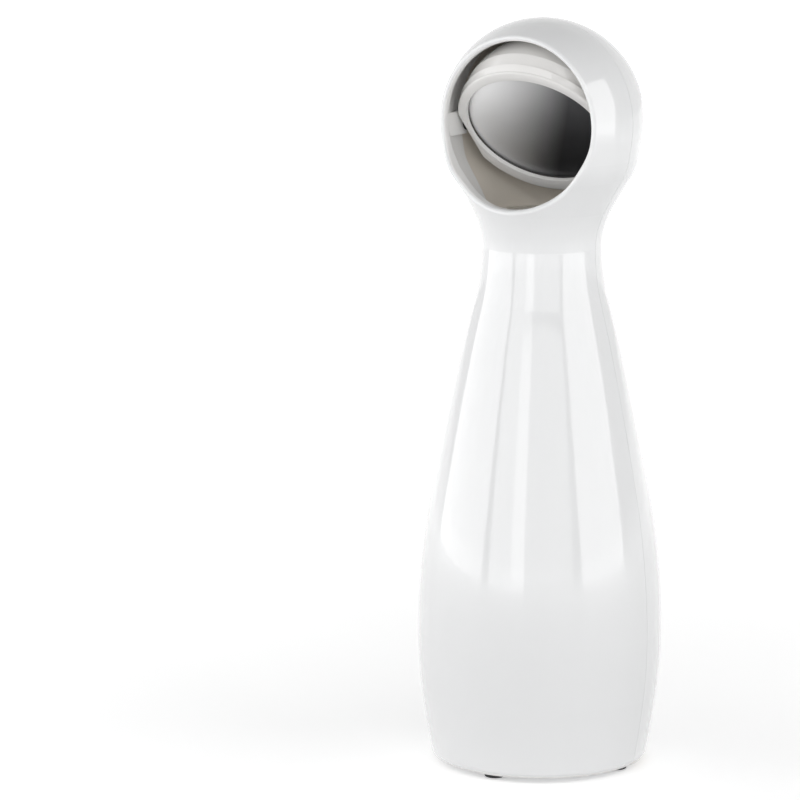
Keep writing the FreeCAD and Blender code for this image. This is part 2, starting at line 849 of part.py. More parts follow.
def pivot_washers():
    """Soft rings between the pod and its bearing blocks that hold the tilt where it is set."""
    start = dome_flat_x + shoulder_length
    length = bearing_inner_x - washer_gap - start
    ring = rod(washer_radius, Vector(start, 0, pivot_z), Vector(1, 0, 0), length)
    return both_sides(ring.cut(rod(pivot_pin_radius, Vector(0, 0, pivot_z), Vector(1, 0, 0), far)))


def side_trim():
    """Column between the two straight sides of the bezel."""
    across = bezel_flat_top[0] - bezel_flat_low[0]
    up = bezel_flat_top[1] - bezel_flat_low[1]
    high = bezel_flat_top[0] + (far - bezel_flat_top[1]) * across / up
    low = bezel_flat_low[0] - (far + bezel_flat_low[1]) * across / up
    corners = [Vector(-high, far, 0), Vector(high, far, 0), Vector(low, -far, 0), Vector(-low, -far, 0)]
    return Part.Face(Part.makePolygon(corners + corners[:1])).extrude(Vector(0, 0, far))


def sight(margin, z_range):
    return oval(sight_half_width + margin, sight_half_height + margin, sight_raise, z_range)


def plug_form(margin, z_range):
    return oval(plug_half_width + margin, plug_half_height + margin, sight_raise, z_range)


def shoulder_form():
    """Round column that narrows towards the bezel, which slopes the front edge of the dome."""
    start = flange_back - dome_shoulder
    column = upright(dome_radius, 0, 0, (-far, start))
    cone = Part.makeCone(dome_radius, dome_radius - dome_shoulder_width, dome_shoulder, Vector(0, 0, start))
    return fused([column, cone])


def mirror_bezel():
    flange = oval(bezel_half_width, bezel_half_height, bezel_raise, (flange_back, bezel_face))
    flange = flange.common(side_trim())
    front_rim = [edge for edge in flange.Edges if abs(edge.CenterOfMass.z - bezel_face) < tiny]
    flange = flange.makeFillet(bezel_edge_round, front_rim)
    body = fused([flange, plug_form(0, (mirror_back, flange_back))])
    pocket = sight(gasket_wall, (0, gasket_front))
    ring = faced(cut_away(body, [pocket, sight(0, (0, far))]))
    return cut_away(ring, both_sides(trunnion_room()))


def mirror_gasket():
    ring = sight(gasket_wall - seat_gap, (mirror_front, gasket_front))
    return faced(ring.cut(sight(0, (0, far))))


def mirror():
    return faced(sight(gasket_wall - seat_gap, (mirror_back, mirror_front)))


# ---- Toothed wheels, built around Z with the mesh at +X ----
def polar(radius, angle, z=0.0):
    return Vector(radius * math.cos(angle), radius * math.sin(angle), z)


def involute(angle):
    return math.tan(angle) - angle


def half_tooth(wheel_teeth, radius):
    """Half the angle that a tooth fills at a radius."""
    pitch_radius = gear_module * wheel_teeth / 2
    base_radius = pitch_radius * math.cos(math.radians(pressure_angle))
    thickness = math.pi * gear_module / 2 - tooth_backlash
    at_radius = math.acos(min(1.0, base_radius / radius))
    return thickness / (2 * pitch_radius) + involute(math.radians(pressure_angle)) - involute(at_radius)


def tooth_edges(wheel_teeth, centre_angle):
    """Root to root over one tooth: two flanks and the tip."""
    pitch_radius = gear_module * wheel_teeth / 2
    base_radius = pitch_radius * math.cos(math.radians(pressure_angle))
    root = pitch_radius - dedendum * gear_module
    tip = pitch_radius + addendum * gear_module
    start = max(root, base_radius)
    middle = (start + tip) / 2

    def spot(radius, side):
        return polar(radius, centre_angle + side * half_tooth(wheel_teeth, radius))

    def root_spot(side):
        return polar(root, centre_angle + side * half_tooth(wheel_teeth, start))

    edges = []
    if root < start:
        edges.append(Part.makeLine(root_spot(-1), spot(start, -1)))
    edges.append(Part.Arc(spot(start, -1), spot(middle, -1), spot(tip, -1)).toShape())
    edges.append(Part.Arc(spot(tip, -1), polar(tip, centre_angle), spot(tip, 1)).toShape())
    edges.append(Part.Arc(spot(tip, 1), spot(middle, 1), spot(start, 1)).toShape())
    if root < start:
        edges.append(Part.makeLine(spot(start, 1), root_spot(1)))
    return edges, root_spot(-1), root_spot(1)


def wheel_run(wheel_teeth, centre_angles):
    """Edges of a run of neighbouring teeth, with the root arcs between them, and its two ends."""
    root = gear_module * wheel_teeth / 2 - dedendum * gear_module
    edges = []
    first = last = None
    for index, angle in enumerate(centre_angles):
        tooth, low, high = tooth_edges(wheel_teeth, angle)
        if index == 0:
            first = low
        else:
            between = polar(root, (centre_angles[index - 1] + angle) / 2)
            edges.append(Part.Arc(last, between, low).toShape())
        edges += tooth
        last = high
    return edges, first, last


def pinion():
    """Small wheel with its middle at the gear distance from the sector's middle."""
    pitch_angle = 2 * math.pi / pinion_teeth
    angles = [index * pitch_angle for index in range(pinion_teeth)]
    edges, first, last = wheel_run(pinion_teeth, angles)
    root = pinion_radius - dedendum * gear_module
    edges.append(Part.Arc(last, polar(root, -pitch_angle / 2), first).toShape())
    wheel = Part.Face(Part.Wire(edges)).extrude(Vector(0, 0, gear_width))
    wheel = wheel.cut(upright(motor_shaft_radius, 0, 0, (0, gear_width)))
    wheel.translate(Vector(gear_distance, 0, 0))
    return wheel


def sector():
    """Part of a large wheel on a hub, with a tooth gap on the line to the pinion."""
    pitch_angle = 2 * math.pi / sector_wheel_teeth
    angles = [(index - (sector_teeth - 1) / 2) * pitch_angle for index in range(sector_teeth)]
    edges, first, last = wheel_run(sector_wheel_teeth, angles)
    hub_point = Vector(-sector_hub_radius / 2, 0, 0)
    edges.append(Part.makeLine(last, hub_point))
    edges.append(Part.makeLine(hub_point, first))
    plate = Part.Face(Part.Wire(edges)).extrude(Vector(0, 0, gear_width))
    hub = upright(sector_hub_radius, 0, 0, (0, gear_width))
    window = upright(sector_window_radius, sector_window_middle, 0, (0, gear_width))
    return fused([plate, hub]).cut(window)


def on_tilt_axis(shape, x):
    """Place a wheel around the gimbal's X axis, mesh downwards, its back face at x."""
    turn = Rotation(Vector(0, 0, -1), Vector(0, 1, 0), Vector(1, 0, 0), "XZY")
    shape.Placement = Placement(Vector(x, 0, gimbal_z), turn).multiply(shape.Placement)
    return shape


def on_pan_axis(shape, y):
    """Place a wheel around the gimbal's Y axis, mesh towards -X, its front face at y."""
    turn = Rotation(Vector(-1, 0, 0), Vector(0, 0, 1), Vector(0, 1, 0), "XZY")
    shape.Placement = Placement(Vector(0, y, gimbal_z), turn).multiply(shape.Placement)
    return shape


# ---- Motors, built along +Z with the front face at the origin ----
def motor():
    can = upright(motor_radius, 0, 0, (-motor_length, 0))
    nose = upright(motor_nose_radius, 0, 0, (0, motor_nose_length))
    bore = upright(motor_shaft_radius + motor_shaft_clearance, 0, 0, (motor_back_wall - motor_length, far))
    return fused([can, nose]).cut(bore)


def motor_shaft():
    reach = gear_side_gap + gear_width + motor_shaft_end
    return upright(motor_shaft_radius, 0, 0, (motor_back_wall - motor_length + motor_shaft_end, reach))


def along_tilt_motor(shape):
    shape.Placement = Placement(Vector(motor_face_x, 0, gimbal_z - gear_distance),
                                Rotation(Vector(0, 0, 1), Vector(1, 0, 0)))
    return shape


def along_pan_motor(shape):
    shape.Placement = Placement(Vector(-gear_distance, pan_motor_face_y, gimbal_z),
                                Rotation(Vector(0, 0, 1), Vector(0, -1, 0)))
    return shape


# ---- Drive frame, yoke and laser holder ----
def cheek(x_range):
    """Upright plate with a round top and two corner webs that carries one tilt pin."""
    half = cheek_half_width
    low = frame_z + frame_thickness
    thickness = Vector(x_range[1] - x_range[0], 0, 0)
    plate = box(x_range, (-half, half), (low, gimbal_z))
    top = rod(half, Vector(x_range[0], 0, gimbal_z), Vector(1, 0, 0), thickness.x)
    corners = [Vector(x_range[0], half, low), Vector(x_range[0], half + cheek_web, low),
               Vector(x_range[0], half, low + 2 * cheek_web)]
    web = Part.Face(Part.makePolygon(corners + corners[:1])).extrude(thickness)
    return [plate, top, web, web.mirror(Vector(0, 0, 0), Vector(0, 1, 0))]


def cheek_ranges():
    right = yoke_right + gear_width + cheek_gap
    left = -(yoke_left + cheek_gap)
    return (right, right + cheek_thickness), (left - cheek_thickness, left)


def motor_room(start, direction):
    return rod(motor_radius + motor_bed_clearance, start, direction, far)


def drive_frame():
    """Disc with the tilt motor's bed and two cheeks for the yoke."""
    disc_z, thickness, radius = held_discs()[1]
    low = disc_z + thickness
    disc = upright(radius, 0, 0, (disc_z, low))
    right, left = cheek_ranges()
    motor_z = gimbal_z - gear_distance
    bed_half = motor_radius + motor_bed_wall
    bed = box((motor_face_x - motor_length + motor_bed_inset, motor_face_x - motor_bed_inset),
              (-bed_half, bed_half), (low, motor_z + motor_bed_rise))
    pin_bore = rod(tilt_pin_radius + tilt_pin_clearance, Vector(-far, 0, gimbal_z), Vector(1, 0, 0),
                   2 * far)
    cable_hole = upright(frame_cable_hole_radius, frame_cable_hole[0], frame_cable_hole[1], (disc_z, low))
    body = fused([disc] + cheek(right) + cheek(left) + [bed])
    start = Vector(motor_face_x - motor_length - cheek_gap, 0, motor_z)
    return cut_away(body, [motor_room(start, Vector(1, 0, 0)), pin_bore, cable_hole])


def gimbal_yoke():
    """Frame round the laser holder with the tilt sector on its right and the pan motor on its left."""
    z_range = (gimbal_z - yoke_height / 2, gimbal_z + yoke_height / 2)
    block = box((-yoke_left, yoke_right), (-yoke_front, yoke_back), z_range)
    corners = [edge for edge in block.Edges if edge.BoundBox.ZLength > yoke_height / 2]
    block = block.makeFillet(yoke_corner, corners)
    inner_front = yoke_front_wall - yoke_front
    bay = box((-bay_half, yoke_right - yoke_right_wall), (inner_front, yoke_back - yoke_back_wall), z_range)
    motor_start = Vector(-gear_distance, pan_motor_face_y, gimbal_z)
    gear_room = box((yoke_left_wall - yoke_left, 0), (inner_front, pan_motor_face_y), z_range)
    pan_bore = rod(pan_pin_radius + tilt_pin_clearance, Vector(0, -far, gimbal_z), Vector(0, 1, 0), 2 * far)
    body = cut_away(block, [bay, gear_room, motor_room(motor_start, Vector(0, 1, 0)), pan_bore])
    body = fused([body, on_tilt_axis(sector(), yoke_right)])
    return cut_away(body, tilt_pins())


def tilt_pins():
    """One pin from inside the yoke's wall out to each cheek."""
    right, left = cheek_ranges()
    inner_right = yoke_right - yoke_right_wall + pin_end_gap
    inner_left = yoke_left_wall - yoke_left - pin_end_gap
    outer_right = right[1] - pin_end_gap
    outer_left = left[0] + pin_end_gap
    return [rod(tilt_pin_radius, Vector(low, 0, gimbal_z), Vector(1, 0, 0), high - low)
            for low, high in ((inner_right, outer_right), (outer_left, inner_left))]


def pan_pins():
    """One pin from each hub of the laser holder out into the yoke's wall."""
    start = hub_start + pin_end_gap
    front = yoke_front - pin_end_gap
    back = yoke_back - pin_end_gap
    return [rod(pan_pin_radius, Vector(0, -front, gimbal_z), Vector(0, 1, 0), front - start),
            rod(pan_pin_radius, Vector(0, start, gimbal_z), Vector(0, 1, 0), back - start)]


def laser_holder():
    """Tube for the laser with a hub front and back and the pan sector."""
    tube = upright(holder_tube_radius, 0, 0, (gimbal_z + holder_tube_bottom, gimbal_z + holder_tube_top))
    back_hub = rod(hub_radius, Vector(0, hub_start, gimbal_z), Vector(0, 1, 0),
                   yoke_back - yoke_back_wall - running_gap - hub_start)
    front_hub = rod(hub_radius, Vector(0, -pan_sector_front, gimbal_z), Vector(0, 1, 0),
                    pan_sector_front - hub_start)
    body = fused([tube, back_hub, front_hub, on_pan_axis(sector(), -pan_sector_front)])
    barrel_room = upright(laser_radius, 0, 0, (0, far + gimbal_z))
    return cut_away(body, [barrel_room] + pan_pins())


def laser_barrel():
    low = gimbal_z + laser_bottom
    high = gimbal_z + laser_top
    body = upright(laser_radius, 0, 0, (low, high))
    room = upright(laser_radius - laser_wall, 0, 0, (low, high - laser_cap))
    mouth = upright(laser_mouth_radius, 0, 0, (low, high))
    groove_range = (high - laser_groove_drop, high - laser_groove_drop + laser_groove_width)
    groove = upright(holder_tube_radius, 0, 0, groove_range)
    groove = groove.cut(upright(laser_radius - laser_groove_depth, 0, 0, groove_range))
    return cut_away(body, [room, mouth, groove])


def laser_lens():
    high = gimbal_z + laser_top - laser_cap
    return upright(laser_radius - laser_wall, 0, 0, (high - lens_thickness, high))


def laser_diode():
    low = gimbal_z + laser_bottom
    flange = upright(laser_radius - laser_wall, 0, 0, (low, low + diode_flange))
    can = upright(diode_can_radius, 0, 0, (low + diode_flange, low + diode_height))
    return fused([flange, can])


def laser_board():
    low = gimbal_z + laser_bottom
    return upright(laser_board_radius, 0, 0, (low - laser_board_thickness, low))


# ---- Circuit board and controls ----
def at_board_screws(radius, y_range):
    """Round columns along Y where the board screws stand."""
    return [rod(radius, Vector(x, y_range[0], z), Vector(0, 1, 0), y_range[1] - y_range[0])
            for x, z in board_screw_spots()]


def board_posts():
    return at_board_screws(board_post_radius, (board_back_y, far))


def board_post_bores():
    depth = board_front_y + board_screw_length + seat
    return at_board_screws(board_screw_shank_radius, (board_front_y, depth))


def main_board():
    y_range = (board_front_y, board_back_y)
    board = box((-board_half_width, board_half_width), y_range, (board_bottom_z, board_top_z))
    return cut_away(board, at_board_screws(board_screw_shank_radius + screw_clearance, y_range))


def board_parts():
    """Chip, capacitor, crystal and two cable sockets on the front of the board."""
    parts = []
    for x, z, wide, tall, deep in (board_chip, board_crystal, board_left_socket, board_right_socket):
        y_range = (board_front_y - deep, board_front_y)
        parts.append(box((x - wide / 2, x + wide / 2), y_range, (z - tall / 2, z + tall / 2)))
    x, z, radius, deep = board_capacitor
    return parts + [rod(radius, Vector(x, board_front_y - deep, z), Vector(0, 1, 0), deep)]


def at_button(radius, start, length=far):
    """Round column along Y on the middle line of the power button."""
    return rod(radius, Vector(0, start, button_z), Vector(0, 1, 0), length)


def button_bore():
    return at_button(button_radius + button_clearance, flange_start)


def button_guide():
    return at_button(button_radius + button_clearance + button_guide_wall, guide_start)


def power_button():
    cap = at_button(button_radius, flange_start).common(housing_form(-button_proud))
    return fused([cap, at_button(button_flange_radius, flange_start, button_flange_thickness)])


def tact_switch():
    z_range = (button_z - switch_half, button_z + switch_half)
    body = box((-switch_half, switch_half), (board_back_y, switch_top), z_range)
    return body.cut(at_button(plunger_radius + plunger_clearance, switch_top - plunger_well))


def tact_plunger():
    """Stem from inside the switch to the back of the button."""
    start = switch_top - plunger_well + button_travel + plunger_clearance
    return at_button(plunger_radius, start, flange_start - start)


def slider_box(half_width, half_height, y_range, x=0.0):
    """Block around the slider's middle height."""
    return box((x - half_width, x + half_width), y_range, (slider_z - half_height, slider_z + half_height))


def slider_slot():
    half = slider_travel / 2 + slider_half_width + slider_clearance
    return slider_box(half, slider_half_height + slider_clearance, (slider_plate_y, far))


def mode_switch():
    body = slider_box(slider_switch_half_width, slider_switch_half_height, (board_back_y, switch_top))
    half = slider_travel / 2 + slider_lever_half + slider_clearance
    slot_range = (switch_top - slider_lever_depth, far)
    return body.cut(slider_box(half, slider_lever_half + slider_clearance, slot_range))


def mode_lever():
    """Post of the switch that the slider takes along, at the left end of its travel."""
    y_range = (switch_top - slider_lever_depth + slider_clearance, switch_top + slider_lever_height)
    return slider_box(slider_lever_half, slider_lever_half, y_range, -slider_travel / 2)


def mode_slider():
    """Outer stem with grip grooves, inner plate wider than the slot, and a fork on the lever."""
    middle = -slider_travel / 2
    stem = slider_box(slider_half_width, slider_half_height, (slider_plate_y, far), middle)
    stem = stem.common(housing_form(-slider_proud))
    under_grooves = housing_form(slider_groove_depth - slider_proud)
    grooves = []
    for step in (-1, 0, 1):
        groove = slider_box(slider_groove_half, far, (0, far), middle + step * slider_groove_pitch)
        grooves.append(groove.cut(under_grooves))
    plate = slider_box(slider_half_width + slider_plate_margin, slider_half_height + slider_plate_margin,
                       (slider_plate_y, slider_plate_y + slider_plate_thickness), middle)
    fork = slider_box(slider_fork_half, slider_fork_half,
                      (slider_plate_y - slider_fork_depth, slider_plate_y), middle)
    return cut_away(fused([stem, plate, fork]), grooves + [mode_lever()])


def everything():
    """Each piece's name and its solids."""
    pieces = {
        "front_shell": [front_shell()],
        "rear_shell": [rear_shell()],
        "shell_screws": shell_screws(),
        "base_plate": [base_plate()],
        "base_screws": base_screws(),
        "rubber_feet": rubber_feet(),
        "battery_door": [battery_door()],
        "door_screw": [door_screw()],
        "door_screw_clip": [screw_clip()],
        "door_contacts": door_contacts(),
        "door_springs": door_springs(),
        "battery_holder": [battery_holder()],
        "top_contacts": top_contacts(),
        "top_springs": top_springs(),
        "beam_deck": [beam_deck()],
        "laser_window": [laser_window()],
        "mirror_dome": [mirror_dome()],
        "mirror_bezel": [mirror_bezel()],
        "mirror_gasket": [mirror_gasket()],
        "mirror": [mirror()],
        "pivot_washers": pivot_washers(),
        "drive_frame": [drive_frame()],
        "gimbal_yoke": [gimbal_yoke()],
        "tilt_pins": tilt_pins(),
        "tilt_motor": [along_tilt_motor(motor())],
        "tilt_motor_shaft": [along_tilt_motor(motor_shaft())],
        "tilt_pinion": [on_tilt_axis(pinion(), yoke_right)],
        "pan_motor": [along_pan_motor(motor())],
        "pan_motor_shaft": [along_pan_motor(motor_shaft())],
        "pan_pinion": [on_pan_axis(pinion(), -pan_sector_front)],
        "pan_pins": pan_pins(),
        "laser_holder": [laser_holder()],
        "laser_barrel": [laser_barrel()],
        "laser_lens": [laser_lens()],
        "laser_diode": [laser_diode()],
        "laser_board": [laser_board()],
        "main_board": [main_board()],
        "board_parts": board_parts(),
        "board_screws": board_screws(),
        "tact_switch": [tact_switch()],
        "tact_plunger": [tact_plunger()],
        "power_button": [power_button()],
        "mode_switch": [mode_switch()],
        "mode_lever": [mode_lever()],
        "mode_slider": [mode_slider()],
    }
    for index, place in enumerate(cell_places()):
        pieces["battery_cell_%d" % (index + 1)] = [battery_cell(*place)]
    return pieces


def main():
    os.makedirs("parts", exist_ok=True)
    for name, shapes in everything().items():
        for shape in shapes:
            if not shape.isValid() or len(shape.Solids) != 1:
                print("check", name, shape.isValid(), len(shape.Solids))
        save(name, shapes)


main()
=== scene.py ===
import math
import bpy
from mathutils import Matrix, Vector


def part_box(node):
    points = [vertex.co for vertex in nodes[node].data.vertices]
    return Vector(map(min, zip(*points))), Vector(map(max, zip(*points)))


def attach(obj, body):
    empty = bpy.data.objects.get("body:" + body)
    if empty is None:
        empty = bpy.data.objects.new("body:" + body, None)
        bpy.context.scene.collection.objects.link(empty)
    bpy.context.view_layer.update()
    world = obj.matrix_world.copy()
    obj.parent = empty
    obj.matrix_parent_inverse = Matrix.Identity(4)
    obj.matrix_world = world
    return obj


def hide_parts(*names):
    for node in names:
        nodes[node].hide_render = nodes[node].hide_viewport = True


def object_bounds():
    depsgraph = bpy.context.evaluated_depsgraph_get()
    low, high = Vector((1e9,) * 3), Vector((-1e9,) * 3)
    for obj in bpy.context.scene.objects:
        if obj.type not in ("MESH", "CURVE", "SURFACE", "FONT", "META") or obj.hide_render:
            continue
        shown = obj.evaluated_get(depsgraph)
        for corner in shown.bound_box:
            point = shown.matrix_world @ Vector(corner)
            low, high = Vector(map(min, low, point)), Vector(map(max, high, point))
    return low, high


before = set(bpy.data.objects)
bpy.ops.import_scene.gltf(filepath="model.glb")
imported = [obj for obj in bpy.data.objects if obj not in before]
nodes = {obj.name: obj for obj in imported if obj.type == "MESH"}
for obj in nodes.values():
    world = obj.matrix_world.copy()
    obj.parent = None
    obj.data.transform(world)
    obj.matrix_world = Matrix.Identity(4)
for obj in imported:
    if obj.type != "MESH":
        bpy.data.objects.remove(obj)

from types import SimpleNamespace

import bmesh
import bpy
import numpy as np
from bpy.props import FloatProperty, FloatVectorProperty, IntProperty, PointerProperty
from bpy.types import Operator, Panel, PropertyGroup
from mathutils import Vector
from mathutils.bvhtree import BVHTree

bl_info = {
    "name": "Cat laser toy",
    "version": (1, 0, 0),
    "blender": (4, 5, 0),
    "location": "3D View > Sidebar > Cat Laser Toy",
    "description": "Builds the finished pieces, surfaces and studio of a cat laser toy round its frame",
    "category": "Object",
}

cad_low, cad_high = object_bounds()


# ---- Values a user would change ----
def number(name, description, default, **limits):
    return FloatProperty(name=name, description=description, default=default, **limits)


def length(name, description, default):
    return number(name, description, default, unit="LENGTH", subtype="DISTANCE")


def lean_angle(name, description, degrees):
    return number(name, description, math.radians(degrees), unit="ROTATION", subtype="ANGLE")


def share(name, description, default):
    return number(name, description, default, min=0.0, max=1.0, subtype="FACTOR")


def watts(name, description, default):
    return number(name, description, default, min=0.0, subtype="POWER")


def paint(name, description, default):
    return FloatVectorProperty(name=name, description=description, default=default, size=3, min=0.0,
                               max=1.0, subtype="COLOR")


class ShellSizes(PropertyGroup):
    head_radius: length("Head radius", "Radius of the ball at the top", 0.03175)
    wall: length("Wall", "Wall thickness of both shells", 0.0023)
    readings: IntProperty(name="Readings", description="Heights at which the shells' side line is read",
                          default=26, min=8)


class PodSizes(PropertyGroup):
    look_down: lean_angle("Look down", "How far the mirror faces below level", 35.0)
    face: length("Face", "Bezel's front in front of the middle of the head", 0.0050)
    flange: length("Flange", "Thickness of the bezel's flange", 0.0022)
    half_width: length("Half width", "Half the bezel's width before its sides are cut straight", 0.0273)
    half_height: length("Half height", "Half the bezel's height", 0.0240)
    lift: length("Lift", "Bezel's middle above the middle of the head, in its plane", -0.0008)
    side_top: length("Side top", "Half width at the top end of the straight side", 0.0267)
    side_top_up: length("Side top up", "Top end of the straight side above the middle", 0.0042)
    side_low: length("Side low", "Half width at the low end of the straight side", 0.0237)
    side_low_up: length("Side low up", "Low end of the straight side above the middle", -0.0118)
    sight_half_width: length("Sight half width", "Half the width of the opening over the mirror", 0.0241)
    sight_half_height: length("Sight half height", "Half the height of that opening", 0.0204)
    sight_lift: length("Sight lift", "Opening's middle above the middle of the head", -0.0004)
    lip: length("Lip", "Depth of the bezel's lip in front of the edge strip", 0.0014)
    strip: length("Strip", "Depth of the dark edge strip", 0.0007)
    plug_half_width: length("Plug half width", "Back of the bezel that sits in the dome", 0.0250)
    plug_half_height: length("Plug half height", "Back of the bezel that sits in the dome", 0.0218)
    strip_wall: length("Strip wall", "Thickness of the edge strip", 0.00045)
    mirror: length("Mirror", "Thickness of the mirror", 0.0016)
    edge_round: length("Edge round", "Round of the bezel's outer edge", 0.0007)
    skirt: length("Skirt", "How far the bezel spreads over the dome, at its top and bottom", 0.0016)
    columns: IntProperty(name="Columns", description="Steps round the bezel", default=288, min=32)


class HardwareSizes(PropertyGroup):
    head_radius: length("Screw head radius", "Head of the shell and base screws", 0.0023)
    head_height: length("Screw head height", "Height of a screw head", 0.0016)
    shank_radius: length("Screw shank radius", "Shank of the shell and base screws", 0.00118)
    slot_width: length("Slot width", "Width of the slot in a screw head", 0.0007)
    slot_depth: length("Slot depth", "Depth of the slot in a screw head", 0.0007)
    shell_screw: length("Shell screw", "Length under the head", 0.014)
    base_screw: length("Base screw", "Length under the head", 0.009)
    board_screw: length("Board screw", "Length under the head", 0.0055)
    board_head: length("Board screw head", "Radius of a board screw's head", 0.0017)
    board_shank: length("Board screw shank", "Radius of a board screw's shank", 0.00088)
    wire: length("Spring wire", "Diameter of the contact springs' wire", 0.0005)
    spring_wide: length("Spring wide end", "Radius of the end on the plate", 0.0036)
    spring_narrow: length("Spring narrow end", "Radius of the end on the cell", 0.0019)
    spring_rise: length("Spring rise", "Height of the wound wire's middle line", 0.00205)
    spring_turns: number("Spring turns", "Turns of wire", 3.25, min=1.0)
    cell_radius: length("Cell radius", "Radius of a cell's can", 0.00725)
    nub_radius: length("Nub radius", "Radius of a cell's nub", 0.00275)
    nub_height: length("Nub height", "Height of a cell's nub", 0.0010)


class StudioSetup(PropertyGroup):
    camera_turn: lean_angle("Camera turn", "Camera's bearing from straight in front", 29.32)
    camera_reach: length("Camera reach", "Camera's distance from the axis", 1.3374)
    camera_height: length("Camera height", "Camera above the floor", 0.36375)
    camera_yaw: lean_angle("Camera yaw", "How far the view turns off the axis", 1.89)
    camera_pitch: lean_angle("Camera pitch", "How far the view looks down", 10.54)
    lens: number("Lens", "Focal length in millimetres", 195.4, min=20.0)
    key_power: watts("Key power", "Power of the softbox left of the camera", 1.35)
    left_power: watts("Left power", "Power of the softbox at the left side", 3.8)
    right_power: watts("Right power", "Power of the softbox at the right side", 3.4)
    high_power: watts("High power", "Power of the softbox high in front", 1.2)
    card_power: watts("Card power", "Power of the wide pale card behind the camera", 3.4)
    room_level: share("Room level", "How strongly the sides of the plain room light the toy", 0.58)
    room_top: share("Room top", "How strongly the top of the room lights the toy", 0.06)
    floor_glow: share("Floor glow", "Light added to the floor as the camera sees it", 0.44)


class Finishes(PropertyGroup):
    shell_white: paint("Shell white", "Gloss white of the housing", (0.80, 0.805, 0.81))
    # The inner sides' colours carry painted light and shade: the front one is lighter than the shell
    # white, the rear one darker and warmer, though both are the same white plastic.
    front_inside: paint("Front inside", "Satin inner side of the front shell", (0.89, 0.885, 0.87))
    rear_inside: paint("Rear inside", "Satin inner side of the rear shell", (0.76, 0.71, 0.635))
    pod_white: paint("Pod white", "White of the mirror pod", (0.79, 0.78, 0.765))
    # Painted reflection and shade: the strip's near-black colour stands for the dark bevelled edge of
    # the mirror's glass and the shadow gap beside it.
    strip_painted_dark: paint("Strip dark", "Edge strip round the mirror", (0.035, 0.033, 0.032))
    control_grey: paint("Control grey", "Button and slider", (0.34, 0.35, 0.37))
    base_grey: paint("Base grey", "Base plate and battery door", (0.60, 0.60, 0.61))
    inner_black: paint("Inner black", "Matt black inner mouldings", (0.022, 0.022, 0.024))
    gear_white: paint("Gear white", "Waxy natural plastic of the wheels", (0.71, 0.69, 0.60))
    # Painted reflection: the mirror's colour runs from near-white silver on its light side to this dark
    # tone on its deep side.
    mirror_deep: paint("Mirror deep", "Tint of the mirror's deep side", (0.10, 0.10, 0.105))
    mirror_rough: share("Mirror roughness", "Softness of the mirror's light side", 0.55)


# ---- Node trees ----
class Amount:
    """An output of a node. A sum with it adds a math node to its tree."""

    def __init__(self, socket):
        self.socket = socket
        self.tree = socket.id_data

    def __getitem__(self, label):
        """Another output of the same node."""
        return Amount(self.socket.node.outputs[label])

    def __add__(self, other):
        return worked_out("ADD", self, other)

    def __sub__(self, other):
        return worked_out("SUBTRACT", self, other)

    def __rsub__(self, other):
        return worked_out("SUBTRACT", other, self)

    def __mul__(self, other):
        return worked_out("MULTIPLY", self, other)

    def __truediv__(self, other):
        return worked_out("DIVIDE", self, other)

    def __neg__(self):
        return self * -1.0


def worked_out(operation, *values):
    tree = next(value.tree for value in values if isinstance(value, Amount))
    return add(tree, "ShaderNodeMath", *values, operation=operation)


def put(socket, value):
    """Link an amount to the socket, or set the socket's own value."""
    if isinstance(value, Amount):
        value.tree.links.new(value.socket, socket)
    elif value is not None:
        socket.default_value = value


def own_name(socket):
    return socket.name.lower().replace(" ", "_")


def fill(inputs, **values):
    named = {own_name(socket): socket for socket in inputs}
    for label, value in values.items():
        put(named[label], value)


def add(tree, kind, *values, **settings):
    """Add a node, set its properties, and fill its inputs in order, or by name from a dict."""
    node = tree.nodes.new(kind)
    for label, value in settings.items():
        setattr(node, label, value)
    if values and isinstance(values[0], dict):
        for label, value in values[0].items():
            put(next(s for s in node.inputs if s.name == label and s.enabled), value)
    else:
        for socket, value in zip(node.inputs, values):
            put(socket, value)
    return Amount(next(s for s in node.outputs if s.enabled))


def fit_range(value, low, high, to_low, to_high):
    return add(value.tree, "ShaderNodeMapRange", value, low, high, to_low, to_high)


def split(vector):
    parts = add(vector.tree, "ShaderNodeSeparateXYZ", vector)
    return parts[0], parts[1], parts[2]


def joined(tree, x, y, z):
    return add(tree, "ShaderNodeCombineXYZ", x, y, z)


def size_of(vector):
    return add(vector.tree, "ShaderNodeVectorMath", vector, operation="LENGTH")["Value"]


def object_place(tree):
    return add(tree, "ShaderNodeTexCoord")["Object"]


def new_tree(kind, name, inputs, outputs):
    """Node group with named sockets: the tree, its inputs as amounts and its result's sockets."""
    tree = bpy.data.node_groups.new(name, kind)
    for label, socket_type, value in inputs:
        socket = tree.interface.new_socket(label, in_out="INPUT", socket_type="NodeSocket" + socket_type)
        if value is not None:
            socket.default_value = value
    for label, socket_type in outputs:
        tree.interface.new_socket(label, in_out="OUTPUT", socket_type="NodeSocket" + socket_type)
    sockets = tree.nodes.new("NodeGroupInput").outputs[:len(inputs)]
    given = SimpleNamespace(**{own_name(socket): Amount(socket) for socket in sockets})
    return tree, given, tree.nodes.new("NodeGroupOutput").inputs


# ---- Shader groups ----
def noise(tree, scale, detail, roughness, vector=None):
    return add(tree, "ShaderNodeTexNoise", {
        "Vector": vector or object_place(tree), "Scale": scale, "Detail": detail,
        "Roughness": roughness})


def mix_colours(factor, first, second):
    first, second = (c if isinstance(c, Amount) else (*c, 1.0) for c in (first, second))
    return add(factor.tree, "ShaderNodeMix", {"Factor": factor, "A": first, "B": second},
               data_type="RGBA")


def shader_group(name, inputs, results):
    """Shader group that takes and gives numbers only."""
    return new_tree("ShaderNodeTree", name, [(label, "Float", value) for label, value in inputs],
                    [(label, "Float") for label in results])


